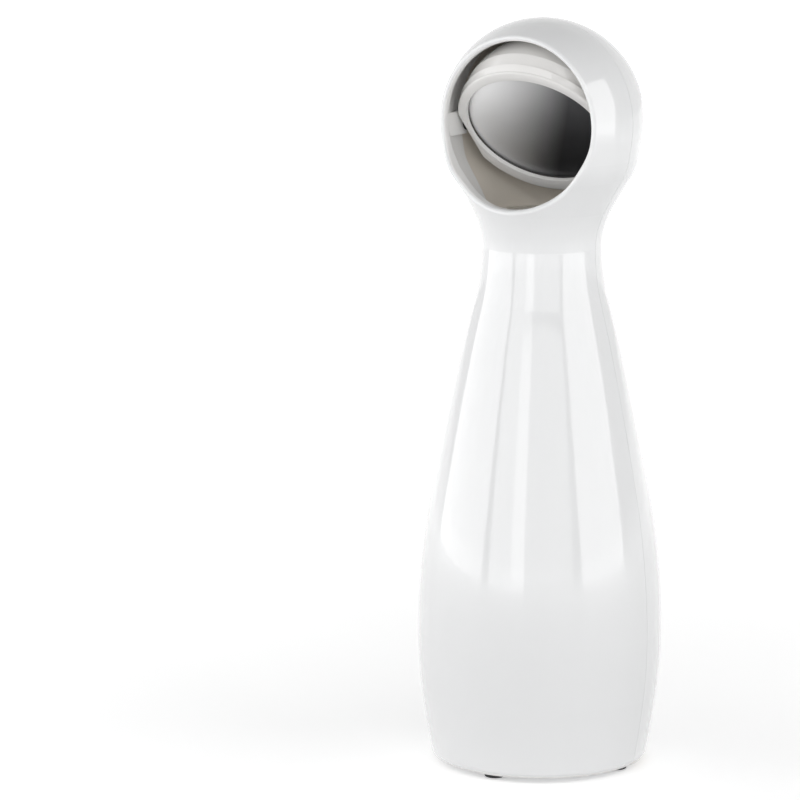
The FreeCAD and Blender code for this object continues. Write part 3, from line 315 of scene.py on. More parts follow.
def moulded_surface_group():
    """Slow ripple, fine grain and faint handling marks of moulded plastic."""
    tree, given, result = shader_group("Moulded surface", [
        ("Ripple Scale", 60.0), ("Grain Scale", 2500.0), ("Grain Share", 0.1), ("Base Roughness", 0.2),
        ("Roughness Spread", 0.04)], ["Height", "Roughness", "Tone"])
    ripple = noise(tree, given.ripple_scale, detail=1.0, roughness=0.4)
    grain = noise(tree, given.grain_scale, detail=2.0, roughness=0.6)
    put(result["Height"], add(tree, "ShaderNodeMix", {
        "Factor": given.grain_share, "A": ripple, "B": grain}))
    handled = fit_range(noise(tree, scale=140.0, detail=4.0, roughness=0.65), 0.35, 0.7, -1.0, 1.0)
    put(result["Roughness"], given.base_roughness + handled * given.roughness_spread)
    put(result["Tone"], noise(tree, scale=22.0, detail=2.0, roughness=0.5))
    return tree


def turned_metal_group():
    """Fine turning lines round an upright axis, with a few dull patches."""
    tree, given, result = shader_group("Turned metal", [
        ("Line Scale", 6000.0), ("Base Roughness", 0.25), ("Roughness Spread", 0.12)],
        ["Height", "Roughness", "Patches"])
    drawn_out = (0.12, 0.12, 1.0)
    lines = add(tree, "ShaderNodeVectorMath", object_place(tree), drawn_out, operation="MULTIPLY")
    put(result["Height"], noise(tree, given.line_scale, detail=2.0, roughness=0.6, vector=lines))
    patches = noise(tree, scale=420.0, detail=3.0, roughness=0.6)
    dull = fit_range(patches, 0.35, 0.7, -0.5, 0.5)
    put(result["Roughness"], given.base_roughness + dull * given.roughness_spread)
    put(result["Patches"], patches)
    return tree


def inner_side_group(side_line, shell):
    """1 on the wall's inner side and 0 on its face, split by the line through the wall's middle."""
    reach, top = cad_high.x, side_line[-1][1]
    tree, given, result = shader_group("Inner side", [
        ("Top", top), ("Reach", reach), ("Head Middle", cad_high.z - shell.head_radius),
        ("Head Wall", shell.head_radius - shell.wall / 2)], ["Mask"])
    x, y, z = split(object_place(tree))
    line = add(tree, "ShaderNodeFloatCurve", {"Value": z / given.top})
    mapping = line.socket.node.mapping
    points = mapping.curves[0].points
    points[0].location = (0.0, side_line[0][0] / reach)
    points[1].location = (1.0, side_line[-1][0] / reach)
    for radius, height in side_line[1:-1]:
        points.new(height / top, radius / reach)
    mapping.update()
    in_body = worked_out("LESS_THAN", size_of(joined(tree, x, y, 0.0)), line * given.reach)
    up = z - given.head_middle
    in_head = worked_out("LESS_THAN", size_of(joined(tree, x, y, up)), given.head_wall)
    in_upper_part = worked_out("GREATER_THAN", up, 0.0)
    put(result["Mask"], fit_range(in_upper_part, 0.0, 1.0, in_body, in_head))
    return tree


def placed_group(tree, group, **values):
    node = tree.nodes.new("ShaderNodeGroup")
    node.node_tree = groups[group]
    fill(node.inputs, **values)
    return Amount(node.outputs[0])


# ---- Materials ----
groups = {}
materials = {}
coat_roughness = 0.04


def new_material(name):
    """Material, its tree and the inputs of its shader."""
    material = bpy.data.materials.new(name)
    material.use_nodes = True
    return material, material.node_tree, material.node_tree.nodes["Principled BSDF"].inputs


def bumps(height, strength, distance):
    return add(height.tree, "ShaderNodeBump", {
        "Strength": strength, "Distance": distance, "Height": height})


def toned(tone, colour, drift):
    """The colour with a slow drift towards a darker tone of itself."""
    darker = [channel * (1 - drift) for channel in colour]
    return mix_colours(fit_range(tone, 0.3, 0.7, 0.0, 1.0), darker, colour)


def textured(tree, shader, group, bump, depth, **values):
    """Give the shader the roughness and the height of a surface group. Returns the group's outputs."""
    surface = placed_group(tree, group, **values)
    fill(shader, roughness=surface["Roughness"], normal=bumps(surface["Height"], bump, depth))
    return surface


def plastic(name, colour, roughness, spread, ripple, grain, grain_share, bump, depth, drift, coat,
            scatter):
    """Moulded plastic: tone drift, roughness drift and the mould's own texture."""
    material, tree, shader = new_material(name)
    surface = textured(tree, shader, "moulded", bump, depth, ripple_scale=ripple, grain_scale=grain,
                       grain_share=grain_share, base_roughness=roughness, roughness_spread=spread)
    fill(shader, base_color=toned(surface["Tone"], colour, drift), coat_weight=coat,
         coat_roughness=coat_roughness, subsurface_weight=scatter, subsurface_scale=0.001)
    return material


def shell_plastic(name, outer, inner):
    """Gloss white face and satin inner side of one and the same moulding. The inner side's colour is
    painted: lighter than the face on the front shell for painted light, darker and warmer on the rear
    shell for painted shade.
    """
    material, tree, shader = new_material(name)
    face = placed_group(tree, "moulded", ripple_scale=45.0, grain_scale=1800.0, grain_share=0.03,
                        base_roughness=0.13, roughness_spread=0.015)
    back = placed_group(tree, "moulded", ripple_scale=90.0, grain_scale=2200.0, grain_share=0.6,
                        base_roughness=0.42, roughness_spread=0.05)
    inside = placed_group(tree, "inner")
    # Painted light and shade: the inner side takes its own colour, lighter than the face on the front
    # shell and darker on the rear shell.
    colour = mix_colours(inside, toned(face["Tone"], outer, 0.012), toned(back["Tone"], inner, 0.03))
    roughness = fit_range(inside, 0.0, 1.0, face["Roughness"], back["Roughness"])
    height = fit_range(inside, 0.0, 1.0, face["Height"], back["Height"])
    fill(shader, base_color=colour, roughness=roughness, coat_roughness=coat_roughness, coat_ior=1.6,
         coat_weight=fit_range(inside, 0.0, 1.0, 1.0, 0.0),
         normal=bumps(height, strength=0.07, distance=0.0001))
    return material


def metal(name, colour, dull, roughness, spread, lines, bump):
    """Turned or drawn metal with dull patches."""
    material, tree, shader = new_material(name)
    surface = textured(tree, shader, "turned", bump, depth=0.00003, line_scale=lines,
                       base_roughness=roughness, roughness_spread=spread)
    patches = fit_range(surface["Patches"], 0.4, 0.75, 0.0, 1.0)
    fill(shader, base_color=mix_colours(patches, colour, dull), metallic=1.0)
    return material


def mirror_glass(roughness, painted_dark_tone, middle):
    """Silvered mirror with a soft haze and a painted reflection: its colour runs from silver to a dark
    tone towards one low corner.
    """
    material, tree, shader = new_material("mirror_silver")
    silver = (0.99, 0.99, 0.995)
    # Painted reflection: a mask across the mirror and down it, fixed to the object, turns the silver
    # into the dark tone. A little noise blurs its border.
    painted_light_end, painted_dark_end = -0.022, 0.010
    across, _, height = split(object_place(tree))
    uneven = fit_range(noise(tree, scale=30.0, detail=1.0, roughness=0.5), 0.3, 0.7, -0.001, 0.001)
    painted_reflection = fit_range(across + (middle - height) * 0.5 + uneven, painted_light_end, painted_dark_end, 0.0, 1.0)
    haze = noise(tree, scale=160.0, detail=2.0, roughness=0.5) * 0.04
    fill(shader, base_color=mix_colours(painted_reflection, silver, painted_dark_tone), metallic=1.0,
         roughness=fit_range(painted_reflection, 0.0, 1.0, roughness, 0.75 * roughness) + haze)
    return material


def clear_plastic():
    material, tree, shader = new_material("clear_window")
    surface = textured(tree, shader, "moulded", bump=0.05, depth=0.00005, ripple_scale=40.0,
                       grain_scale=1800.0, grain_share=0.2, base_roughness=0.05, roughness_spread=0.02)
    fill(shader, base_color=toned(surface["Tone"], (0.92, 0.96, 0.97), drift=0.05), ior=1.49,
         transmission_weight=1.0)
    return material


def circuit_board():
    """Green solder mask with a faint pattern of tracks under it."""
    material, tree, shader = new_material("board_green")
    mask, over_copper = (0.006, 0.085, 0.036), (0.02, 0.16, 0.07)
    upright = add(tree, "ShaderNodeMapping", {
        "Rotation": (math.radians(90), 0, 0), "Vector": object_place(tree)})
    tracks = add(tree, "ShaderNodeTexBrick", {
        "Scale": 140.0, "Mortar Size": 0.03, "Vector": upright})["Fac"]
    surface = placed_group(tree, "moulded", ripple_scale=120.0, grain_scale=3000.0, grain_share=0.3,
                           base_roughness=0.35, roughness_spread=0.05)
    fill(shader, base_color=mix_colours(tracks, mask, over_copper), roughness=surface["Roughness"],
         normal=bumps(tracks, strength=0.3, distance=0.00004))
    return material


def cell_sleeve():
    """Sleeve of a cell: dark body, copper-coloured band and bare metal ends."""
    material, tree, shader = new_material("cell_sleeve")
    dark, copper, bare = (0.025, 0.028, 0.036), (0.42, 0.20, 0.09), (0.62, 0.62, 0.63)
    band_start = 0.0440
    textured(tree, shader, "moulded", bump=0.1, depth=0.00005, ripple_scale=90.0, grain_scale=2000.0,
             grain_share=0.2, base_roughness=0.3, roughness_spread=0.06)
    band = fit_range(split(object_place(tree))[2], band_start, band_start + 0.0001, 0.0, 1.0)
    facing = split(add(tree, "ShaderNodeNewGeometry")["Normal"])[2]
    end = fit_range(worked_out("ABSOLUTE", facing), 0.7, 0.8, 0.0, 1.0)
    fill(shader, base_color=mix_colours(end, mix_colours(band, dark, copper), bare), metallic=end)
    return material


def wall_line(sizes):
    """Radius and height of the middle of the housing's wall, read from the rear shell."""
    mesh = nodes["rear_shell"].data
    tree = BVHTree.FromPolygons([v.co for v in mesh.vertices], [p.vertices for p in mesh.polygons])
    clear_of_controls = 0.3     # bearing of the readings from straight behind
    above_foot, past_neck, outside = 0.006, 0.004, 0.2
    bearing = Vector((math.sin(clear_of_controls), math.cos(clear_of_controls), 0.0))
    height = np.linspace(above_foot, cad_high.z - sizes.head_radius + past_neck, sizes.readings)
    hits = [tree.ray_cast(Vector((0, 0, h)) + bearing * outside, -bearing)[0] for h in height]
    radius = np.array([math.hypot(hit.x, hit.y) for hit in hits])
    slope = np.gradient(radius, height)
    middle = radius - sizes.wall / 2 * np.sqrt(1 + slope ** 2)
    return [(float(max(r, 0.0)), float(h)) for r, h in zip(middle, height)]


def make_finishes(finish, shell):
    """Every finish of the toy, by the record's slot name or by its own name."""
    groups["moulded"] = moulded_surface_group()
    groups["turned"] = turned_metal_group()
    groups["inner"] = inner_side_group(wall_line(shell), shell)
    # Colour, roughness and its spread, ripple and grain scale, share of grain, bump and its depth,
    # drift of the tone, coat, light scattered inside
    plastics = {
        "pod_white": (finish.pod_white, 0.24, 0.03, 70, 2200, 0.06, 0.08, 0.0001, 0.02, 0.3, 0),
        "edge_strip": (finish.strip_painted_dark, 0.35, 0.08, 300, 4000, 0.5, 0.3, 0.00005, 0.2, 0, 0),
        "control_grey": (finish.control_grey, 0.42, 0.05, 120, 3500, 0.7, 0.3, 0.00005, 0.04, 0, 0),
        "base_grey": (finish.base_grey, 0.5, 0.05, 120, 3200, 0.85, 0.45, 0.00006, 0.04, 0, 0),
        "inner_plastic": (finish.inner_black, 0.48, 0.07, 120, 3200, 0.7, 0.35, 0.00005, 0.2, 0, 0),
        "gear_plastic": (finish.gear_white, 0.38, 0.05, 140, 2600, 0.3, 0.15, 0.00005, 0.05, 0, 0.15),
        "black_rubber": ((0.016, 0.016, 0.017), 0.72, 0.08, 200, 3000, 0.8, 0.5, 0.00006, 0.25, 0, 0),
        "black_parts": ((0.012, 0.012, 0.013), 0.4, 0.06, 200, 4000, 0.8, 0.3, 0.00004, 0.2, 0, 0),
    }
    # Colour, colour of the dull patches, roughness and its spread, scale of the lines, bump
    metals = {
        "steel": ((0.56, 0.56, 0.57), (0.38, 0.38, 0.39), 0.28, 0.12, 6000, 0.15),
        "spring_steel": ((0.66, 0.65, 0.62), (0.48, 0.47, 0.45), 0.2, 0.08, 6000, 0.15),
        "brass": ((0.70, 0.50, 0.22), (0.48, 0.33, 0.15), 0.24, 0.1, 9000, 0.25),
    }
    for make, table in ((plastic, plastics), (metal, metals)):
        materials.update({slot: make(slot + "_finish", *values) for slot, values in table.items()})
    middle = cad_high.z - shell.head_radius
    materials.update({
        "front_shell": shell_plastic("front_shell_gloss", finish.shell_white, finish.front_inside),
        "rear_shell": shell_plastic("rear_shell_gloss", finish.shell_white, finish.rear_inside),
        "mirror_glass": mirror_glass(finish.mirror_rough, finish.mirror_deep, middle),
        "clear_window": clear_plastic(),
        "board_green": circuit_board(),
        "cell_wrap": cell_sleeve(),
    })


def finish_nodes(*names):
    """Give CAD nodes the finish of their slot."""
    for name in names:
        for slot in nodes[name].material_slots:
            if slot.material.name not in materials:
                raise RuntimeError("no finish for " + slot.material.name)
            slot.material = materials[slot.material.name]


# ---- Geometry node helpers ----
def by_row(row, values):
    """The value that belongs to a row of the profile."""
    node = row.tree.nodes.new("GeometryNodeIndexSwitch")
    node.data_type = "FLOAT"
    while len(node.index_switch_items) < len(values):
        node.index_switch_items.new()
    for socket, value in zip(node.inputs, [row, *values]):
        put(socket, value)
    return Amount(node.outputs[0])


def swept(tree, columns, profile):
    """Grid with its columns round a form and its rows along a profile: mesh, cosine, sine and the
    profile's values."""
    mesh = add(tree, "GeometryNodeMeshGrid", {
        "Size X": 1.0, "Size Y": 1.0, "Vertices X": columns + 1.0, "Vertices Y": len(profile)})
    x, y, _ = split(add(tree, "GeometryNodeInputPosition"))
    angle = (x + 0.5) * (2 * math.pi)
    row = worked_out("ROUND", (y + 0.5) * (len(profile) - 1.0))
    values = [by_row(row, column) for column in zip(*profile)]
    return mesh, worked_out("COSINE", angle), worked_out("SINE", angle), values


def crisp(mesh):
    """Smooth faces that meet in crisp corners."""
    corner_bend = math.radians(32)
    bend = add(mesh.tree, "GeometryNodeInputMeshEdgeAngle")
    smooth = add(mesh.tree, "GeometryNodeSetShadeSmooth", {"Geometry": mesh, "Shade Smooth": True},
                 domain="FACE")
    return add(mesh.tree, "GeometryNodeSetShadeSmooth", {
        "Geometry": smooth, "Selection": worked_out("GREATER_THAN", bend, corner_bend),
        "Shade Smooth": False}, domain="EDGE")


def shaped(mesh, x, y, z):
    """The grid moved to its place and closed along its seam."""
    moved = add(mesh.tree, "GeometryNodeSetPosition", {
        "Geometry": mesh, "Position": joined(mesh.tree, x, y, z)})
    return crisp(add(mesh.tree, "GeometryNodeMergeByDistance", {"Geometry": moved, "Distance": 1e-7}))


def turned(given, profile):
    """Form turned round Z from rows of radius and height."""
    mesh, cosine, sine, (radius, height) = swept(given.columns.tree, given.columns, profile)
    return shaped(mesh, radius * cosine, radius * sine, height)


def finish(given, result, geometry):
    real = add(geometry.tree, "GeometryNodeRealizeInstances", geometry)
    put(result[0], add(geometry.tree, "GeometryNodeSetMaterial", {
        "Geometry": real, "Material": given.finish}))


def placed_copies(given, result, form):
    """Put the form at every place, turned to its facing and spun at random about its own axis."""
    tree = form.tree
    chance = add(tree, "FunctionNodeRandomValue", {
        "Min": -math.pi, "Max": math.pi, "Seed": given.seed})
    own = add(tree, "FunctionNodeEulerToRotation", joined(tree, 0.0, 0.0, chance * given.spin))
    facing = add(tree, "FunctionNodeEulerToRotation", given.facing)
    turn = add(tree, "FunctionNodeRotateRotation", {"Rotation": facing, "Rotate By": own},
               rotation_space="LOCAL")
    points = add(tree, "GeometryNodeMeshToPoints", {"Mesh": given.places})
    finish(given, result, add(tree, "GeometryNodeInstanceOnPoints", {
        "Points": points, "Instance": form, "Rotation": turn}))


def shape_tree(name, sizes):
    """Geometry node tree with sizes in metres, the places to fill and the finish to set."""
    inputs = [("Places", "Geometry", None)] + [(label, "Float", 0.001) for label in sizes]
    inputs += [("Columns", "Int", 48), ("Facing", "Vector", (0.0, 0.0, 0.0)), ("Spin", "Float", 0.0),
               ("Seed", "Int", 7), ("Finish", "Material", None)]
    return new_tree("GeometryNodeTree", name, inputs, [("Geometry", "Geometry")])


def made_by_nodes(name, tree, places, slot, sizes, **values):
    """Run a tree once at the places and keep its result as a plain, closed mesh. An input that has no
    value of its own takes the one of the same name from the sizes."""
    values["finish"] = materials[slot]
    points = bpy.data.meshes.new(name + "_places")
    points.from_pydata([tuple(place) for place in places], [], [])
    piece = new_object(name, points)
    modifier = piece.modifiers.new("Shape", "NODES")
    modifier.node_group = tree
    for socket in tree.interface.items_tree:
        value = values.pop(own_name(socket), getattr(sizes, own_name(socket), None))
        if socket.in_out == "INPUT" and value is not None:
            modifier[socket.identifier] = value
    if values:
        raise RuntimeError("{}: the tree has no input {}".format(name, sorted(values)))
    bpy.context.view_layer.update()
    depsgraph = bpy.context.evaluated_depsgraph_get()
    mesh = bpy.data.meshes.new_from_object(piece.evaluated_get(depsgraph))
    piece.modifiers.remove(modifier)
    piece.data = mesh
    mesh.name = name
    bpy.data.meshes.remove(points)
    faces = bmesh.new()
    faces.from_mesh(mesh)
    if not faces.faces or any(len(edge.link_faces) != 2 for edge in faces.edges):
        raise RuntimeError(name + ": the mesh isn't closed")
    bmesh.ops.recalc_face_normals(faces, faces=faces.faces)
    faces.to_mesh(mesh)
    faces.free()
    return piece


def new_object(name, data):
    """Object in the scene."""
    thing = bpy.data.objects.new(name, data)
    bpy.context.scene.collection.objects.link(thing)
    return thing


def stands_for(piece, body, *names):
    """Let the piece ride a body in place of CAD nodes, which it hides."""
    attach(piece, body)
    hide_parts(*names)


def loose_boxes(name):
    """Lowest and highest corner of every separate solid in a CAD node."""
    mesh = nodes[name].data
    places = [tuple(round(c, 6) for c in v.co) for v in mesh.vertices]
    leader = {place: place for place in places}

    def top(place):
        while leader[place] != place:
            leader[place] = leader[leader[place]]
            place = leader[place]
        return place
    for edge in mesh.edges:
        first, second = (top(places[v]) for v in edge.vertices)
        leader[first] = second
    solids = {}
    for place in leader:
        solids.setdefault(top(place), []).append(place)
    boxes = [(Vector(np.min(found, axis=0)), Vector(np.max(found, axis=0))) for found in solids.values()]
    return sorted(boxes, key=lambda box: tuple(round(c, 5) for c in box[0]))


# ---- Trees of the toy's own pieces ----
def facing_down(given, across, up, depth):
    """A place in the mirror's own plane, turned down and put at the middle of the head."""
    fore, down = -given.cosine_down, -given.sine_down
    return across, depth * fore + up * down, depth * down + up * given.cosine_down + given.head_middle


sight_sizes = ["Sight Half Width", "Sight Half Height", "Sight Lift", "Face", "Lip", "Strip",
               "Strip Wall", "Head Middle", "Sine Down", "Cosine Down"]


def oval_ring_tree():
    """Ring round an oval sight, with a wider oval outside that has two straight sides."""
    tree, given, result = shape_tree("Bezel ring", sight_sizes + [
        "Half Width", "Half Height", "Lift", "Side Top", "Side Top Up", "Side Low", "Side Low Up",
        "Plug Half Width", "Plug Half Height", "Flange", "Mirror", "Edge Round", "Skirt"])
    face, wall, sight_lift = given.face, given.strip_wall, given.sight_lift
    back = face - given.flange
    strip_front = face - given.lip
    mirror_back = strip_front - given.strip - given.mirror
    soft = 0.00012              # round of the inner edge
    uncut = -1.0                # inset that takes a row clear of the straight sides

    def sight_row(margin, depth):
        return (given.sight_half_width + margin, given.sight_half_height + margin, sight_lift, uncut,
                depth)

    def plug_row(depth):
        return given.plug_half_width, given.plug_half_height, sight_lift, uncut, depth

    def corner_row(lean):
        inset = given.edge_round * (1 - math.sin(lean))
        return (given.half_width - inset, given.half_height - inset, given.lift, inset,
                face - given.edge_round * (1 - math.cos(lean)))
    rows = [sight_row(0.0, face - soft), sight_row(0.3 * soft, face - 0.3 * soft), sight_row(soft, face)]
    rows += [corner_row(math.radians(lean)) for lean in range(0, 91, 18)]
    rows += [(given.half_width, given.half_height + given.skirt, given.lift, 0.0, back),
             plug_row(back), plug_row(mirror_back), sight_row(wall, mirror_back),
             sight_row(wall, strip_front), sight_row(0.0, strip_front), sight_row(0.0, face - soft)]
    mesh, cosine, sine, values = swept(tree, given.columns, rows)
    half_width, half_height, lift, inset, depth = values
    up = half_height * sine + lift
    slope = (given.side_top - given.side_low) / (given.side_top_up - given.side_low_up)
    limit = given.side_top + (up - given.side_top_up) * slope - inset
    across = worked_out("MAXIMUM", worked_out("MINIMUM", half_width * cosine, limit), -limit)
    finish(given, result, shaped(mesh, *facing_down(given, across, up, depth)))
    return tree


def edge_strip_tree():
    """Soft strip between mirror and bezel, with one fine groove round its face. The strip is a modelled
    part; its near-black colour is a painted reflection and shade, for the dark bevelled glass edge and
    the gap beside it.
    """
    tree, given, result = shape_tree("Edge strip", sight_sizes)
    back = given.face - given.lip - given.strip
    # Shares of the wall outwards and of the depth forwards
    section = ((0.0, 0.0), (0.0, 0.25), (0.12, 0.32), (0.12, 0.44), (0.0, 0.52), (0.0, 1.0), (1.0, 1.0),
               (1.0, 0.0), (0.0, 0.0))
    rows = [(given.strip_wall * out, back + given.strip * fore) for out, fore in section]
    mesh, cosine, sine, (margin, depth) = swept(tree, given.columns, rows)
    across = (given.sight_half_width + margin) * cosine
    up = (given.sight_half_height + margin) * sine + given.sight_lift
    finish(given, result, shaped(mesh, *facing_down(given, across, up, depth)))
    return tree


def screw_tree():
    """Slotted pan-head screw with its head's face at the place and its shank behind it."""
    tree, given, result = shape_tree("Slotted screw", [
        "Head Radius", "Head Height", "Shank Radius", "Length", "Slot Width", "Slot Depth"])
    head, shank = given.head_radius, given.shank_radius
    under = -given.head_height
    tip = under - given.length
    # Shares of the head's radius outwards and of its height downwards
    pan = ((0.75, 0.0), (0.88, 0.08), (0.96, 0.18), (1.0, 0.32), (1.0, 0.92), (0.97, 1.0))
    profile = [(0.0, 0.0)] + [(head * out, under * down) for out, down in pan]
    profile += [(shank, under), (shank, tip + shank), (shank * 0.3, tip), (0.0, tip)]
    # A block through the head's face, half of it in front
    slot = joined(tree, head * 4.0, given.slot_width, given.slot_depth * 2.0)
    cut = add(tree, "GeometryNodeMeshBoolean", {
        "Mesh 1": turned(given, profile), "Mesh 2": add(tree, "GeometryNodeMeshCube", {"Size": slot})},
        operation="DIFFERENCE")
    placed_copies(given, result, crisp(cut))
    return tree


def foot_tree():
    """Low round foot with a softened rim and a shallow hollow in its sole."""
    tree, given, result = shape_tree("Rubber foot", ["Radius", "Height", "Edge"])
    radius, height, edge = given.radius, given.height, given.edge
    hollow = edge * 0.35
    profile = [(0.0, hollow), (radius * 0.45, hollow), (radius * 0.52, 0.0), (radius - edge, 0.0)]
    profile += [(radius - edge * inset, edge * rise)
                for inset, rise in ((0.62, 0.09), (0.29, 0.29), (0.09, 0.62))]
    profile += [(radius, edge), (radius, height), (0.0, height)]
    placed_copies(given, result, turned(given, profile))
    return tree


def cell_tree():
    """Round cell: crimped can, insulating ring and nub, standing on its flat end."""
    tree, given, result = shape_tree("Round cell", ["Cell Radius", "Length", "Nub Radius", "Nub Height"])
    radius, length, nub = given.cell_radius, given.length, given.nub_radius
    shoulder = length - given.nub_height
    crimp = 0.0009
    # Steps in from the can's side, and up from its flat end or down from its shoulder
    low_steps = ((0.0011, 0.0), (0.0006, 0.00012), (0.0002, 0.0004))
    high_steps = ((0.0002, 0.0004), (0.0006, 0.0001), (0.0011, 0.0), (0.0015, 0.0003))
    profile = [(0.0, 0.0)] + [(radius - inset, rise) for inset, rise in low_steps]
    profile += [(radius, crimp), (radius, shoulder - crimp)]
    profile += [(radius - inset, shoulder - drop) for inset, drop in high_steps]
    profile += [(nub + 0.0005, shoulder - 0.0003), (nub, shoulder - 0.0001), (nub, length - 0.0003),
                (nub - 0.0003, length), (0.0, length)]
    placed_copies(given, result, turned(given, profile))
    return tree


def spring_tree():
    """Conical spring wound from the plate towards the cell, with a closed end turn on the plate."""
    tree, given, result = shape_tree("Contact spring", [
        "Spring Wide", "Spring Narrow", "Spring Rise", "Spring Turns", "Wire"])
    half_wire = given.wire * 0.5

    def circle(steps, radius):
        return add(tree, "GeometryNodeCurvePrimitiveCircle", {"Resolution": steps, "Radius": radius})
    coil = add(tree, "GeometryNodeCurveSpiral", {
        "Resolution": 40, "Rotations": given.spring_turns, "Start Radius": given.spring_wide,
        "End Radius": given.spring_narrow, "Height": given.spring_rise})
    both = tree.nodes.new("GeometryNodeJoinGeometry")
    for curve, capped in ((coil, True), (circle(48, given.spring_wide), False)):
        put(both.inputs[0], add(tree, "GeometryNodeCurveToMesh", {
            "Curve": curve, "Profile Curve": circle(10, half_wire), "Fill Caps": capped}))
    raised = add(tree, "GeometryNodeTransform", {
        "Geometry": Amount(both.outputs[0]), "Translation": joined(tree, 0.0, 0.0, half_wire)})
    placed_copies(given, result, crisp(raised))
    return tree


# ---- Operators ----
class BuildShells(Operator):
    """Finish the two shells of the housing."""
    bl_idname = "cat_laser.shells"
    bl_label = "Housing shells"

    def execute(self, context):
        for name in ("front_shell", "rear_shell"):
            for slot in nodes[name].material_slots:
                slot.material = materials[name]
        return {"FINISHED"}


class BuildPod(Operator):
    """Make the mirror pod: bezel ring, edge strip, dome, mirror and soft washers."""
    bl_idname = "cat_laser.mirror_pod"
    bl_label = "Mirror pod"

    def execute(self, context):
        pod = context.scene.cat_laser_pod
        strip_room = 0.00005
        where = dict(head_middle=cad_high.z - context.scene.cat_laser_shell.head_radius,
                     sine_down=math.sin(pod.look_down), cosine_down=math.cos(pod.look_down))
        bezel = made_by_nodes("bezel_ring", oval_ring_tree(), [(0, 0, 0)], "pod_white", pod,
                              strip_wall=pod.strip_wall + strip_room, **where)
        stands_for(bezel, "pod", "mirror_bezel")
        strip = made_by_nodes("mirror_edge_strip", edge_strip_tree(), [(0, 0, 0)], "edge_strip", pod,
                              **where)
        stands_for(strip, "pod", "mirror_gasket")
        finish_nodes("mirror_dome", "mirror", "pivot_washers")
        return {"FINISHED"}


class BuildControls(Operator):
    """Finish the power button and the mode slider with the switches behind them."""
    bl_idname = "cat_laser.controls"
    bl_label = "Button and slider"

    def execute(self, context):
        finish_nodes("power_button", "tact_switch", "tact_plunger", "mode_slider", "mode_switch",
                     "mode_lever")
        return {"FINISHED"}


class BuildBase(Operator):
    """Finish the base plate and its door, and make the rubber feet."""
    bl_idname = "cat_laser.base"
    bl_label = "Base, door and feet"

    def execute(self, context):
        finish_nodes("base_plate", "battery_door", "door_screw", "door_screw_clip")
        boxes = loose_boxes("rubber_feet")
        low, high = boxes[0]
        places = [on_axis(box, box[0].z) for box in boxes]
        feet = made_by_nodes("foot_pads", foot_tree(), places, "black_rubber", None, edge=0.0005,
                             radius=(high.x - low.x) / 2, height=high.z - low.z, columns=64)
        stands_for(feet, "housing", "rubber_feet")
        return {"FINISHED"}


class BuildScrews(Operator):
    """Make the slotted screws of the shells, the base plate and the circuit board."""
    bl_idname = "cat_laser.screws"
    bl_label = "Screws"

    def execute(self, context):
        sizes = context.scene.cat_laser_hardware
        tree = screw_tree()
        wide, narrow = (sizes.head_radius, sizes.shank_radius), (sizes.board_head, sizes.board_shank)
        # Node, piece, lean of the head, length under the head, radii of head and shank
        rows = (("shell_screws", "closing_screws", -90, sizes.shell_screw, wide),
                ("base_screws", "plate_screws", 180, sizes.base_screw, wide),
                ("board_screws", "card_screws", 90, sizes.board_screw, narrow))
        for node, name, lean, length_under, (head, shank) in rows:
            places = []
            for low, high in loose_boxes(node):
                middle = (low + high) / 2
                places.append({-90: (middle.x, high.y, middle.z), 180: (middle.x, middle.y, low.z),
                               90: (middle.x, low.y, middle.z)}[lean])
            screws = made_by_nodes(
                name, tree, places, "steel", sizes, head_radius=head, shank_radius=shank,
                length=length_under, facing=(math.radians(lean), 0, 0), spin=1.0, columns=36)
            stands_for(screws, "housing", node)
        return {"FINISHED"}


class BuildCells(Operator):
    """Make the four cells and their springs, and finish the holder and the contact plates."""
    bl_idname = "cat_laser.cells"
    bl_label = "Cells, springs and holder"

    def execute(self, context):
        sizes = context.scene.cat_laser_hardware
        over, flat = (math.pi, 0.0, 0.0), 1e-5
        finish_nodes("battery_holder", "door_contacts", "top_contacts")
        nub_up, nub_down, size = [], [], 0.0
        for name in ("battery_cell_1", "battery_cell_2", "battery_cell_3", "battery_cell_4"):
            low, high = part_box(name)
            middle = (low + high) / 2
            size = high.z - low.z
            end = [v.co for v in nodes[name].data.vertices if v.co.z > high.z - flat]
            reach = max(math.hypot(co.x - middle.x, co.y - middle.y) for co in end)
            if reach < sizes.cell_radius / 2:
                nub_up.append((middle.x, middle.y, low.z, name))
            else:
                nub_down.append((middle.x, middle.y, high.z, name))
        tree = cell_tree()
        for label, cells, facing in (("cells_nub_up", nub_up, None), ("cells_nub_down", nub_down, over)):
            piece = made_by_nodes(label, tree, [cell[:3] for cell in cells], "cell_wrap", sizes,
                                  length=size, facing=facing, columns=64)
            stands_for(piece, "housing", *[cell[3] for cell in cells])
        tree = spring_tree()
        rows = (("door_springs", "springs_on_door", "door", None),
                ("top_springs", "springs_on_holder", "housing", over))
        for node, name, body, facing in rows:
            places = [on_axis(box, box[1 if facing else 0].z) for box in loose_boxes(node)]
            springs = made_by_nodes(name, tree, places, "spring_steel", sizes, facing=facing)
            stands_for(springs, body, node)
        return {"FINISHED"}


class BuildDrive(Operator):
    """Finish the two-axis drive: frame, yoke, motors, shafts, pinions and pins."""
    bl_idname = "cat_laser.drive"
    bl_label = "Laser drive"

    def execute(self, context):
        finish_nodes("drive_frame", "gimbal_yoke", "tilt_pins", "tilt_motor", "tilt_motor_shaft",
                     "tilt_pinion", "pan_motor", "pan_motor_shaft", "pan_pinion", "pan_pins")
        return {"FINISHED"}


class BuildLaser(Operator):
    """Finish the laser with its holder, and the deck and window above it."""
    bl_idname = "cat_laser.laser"
    bl_label = "Laser, deck and window"

    def execute(self, context):
        finish_nodes("laser_holder", "laser_barrel", "laser_lens", "laser_diode", "laser_board",
                     "beam_deck", "laser_window")
        return {"FINISHED"}


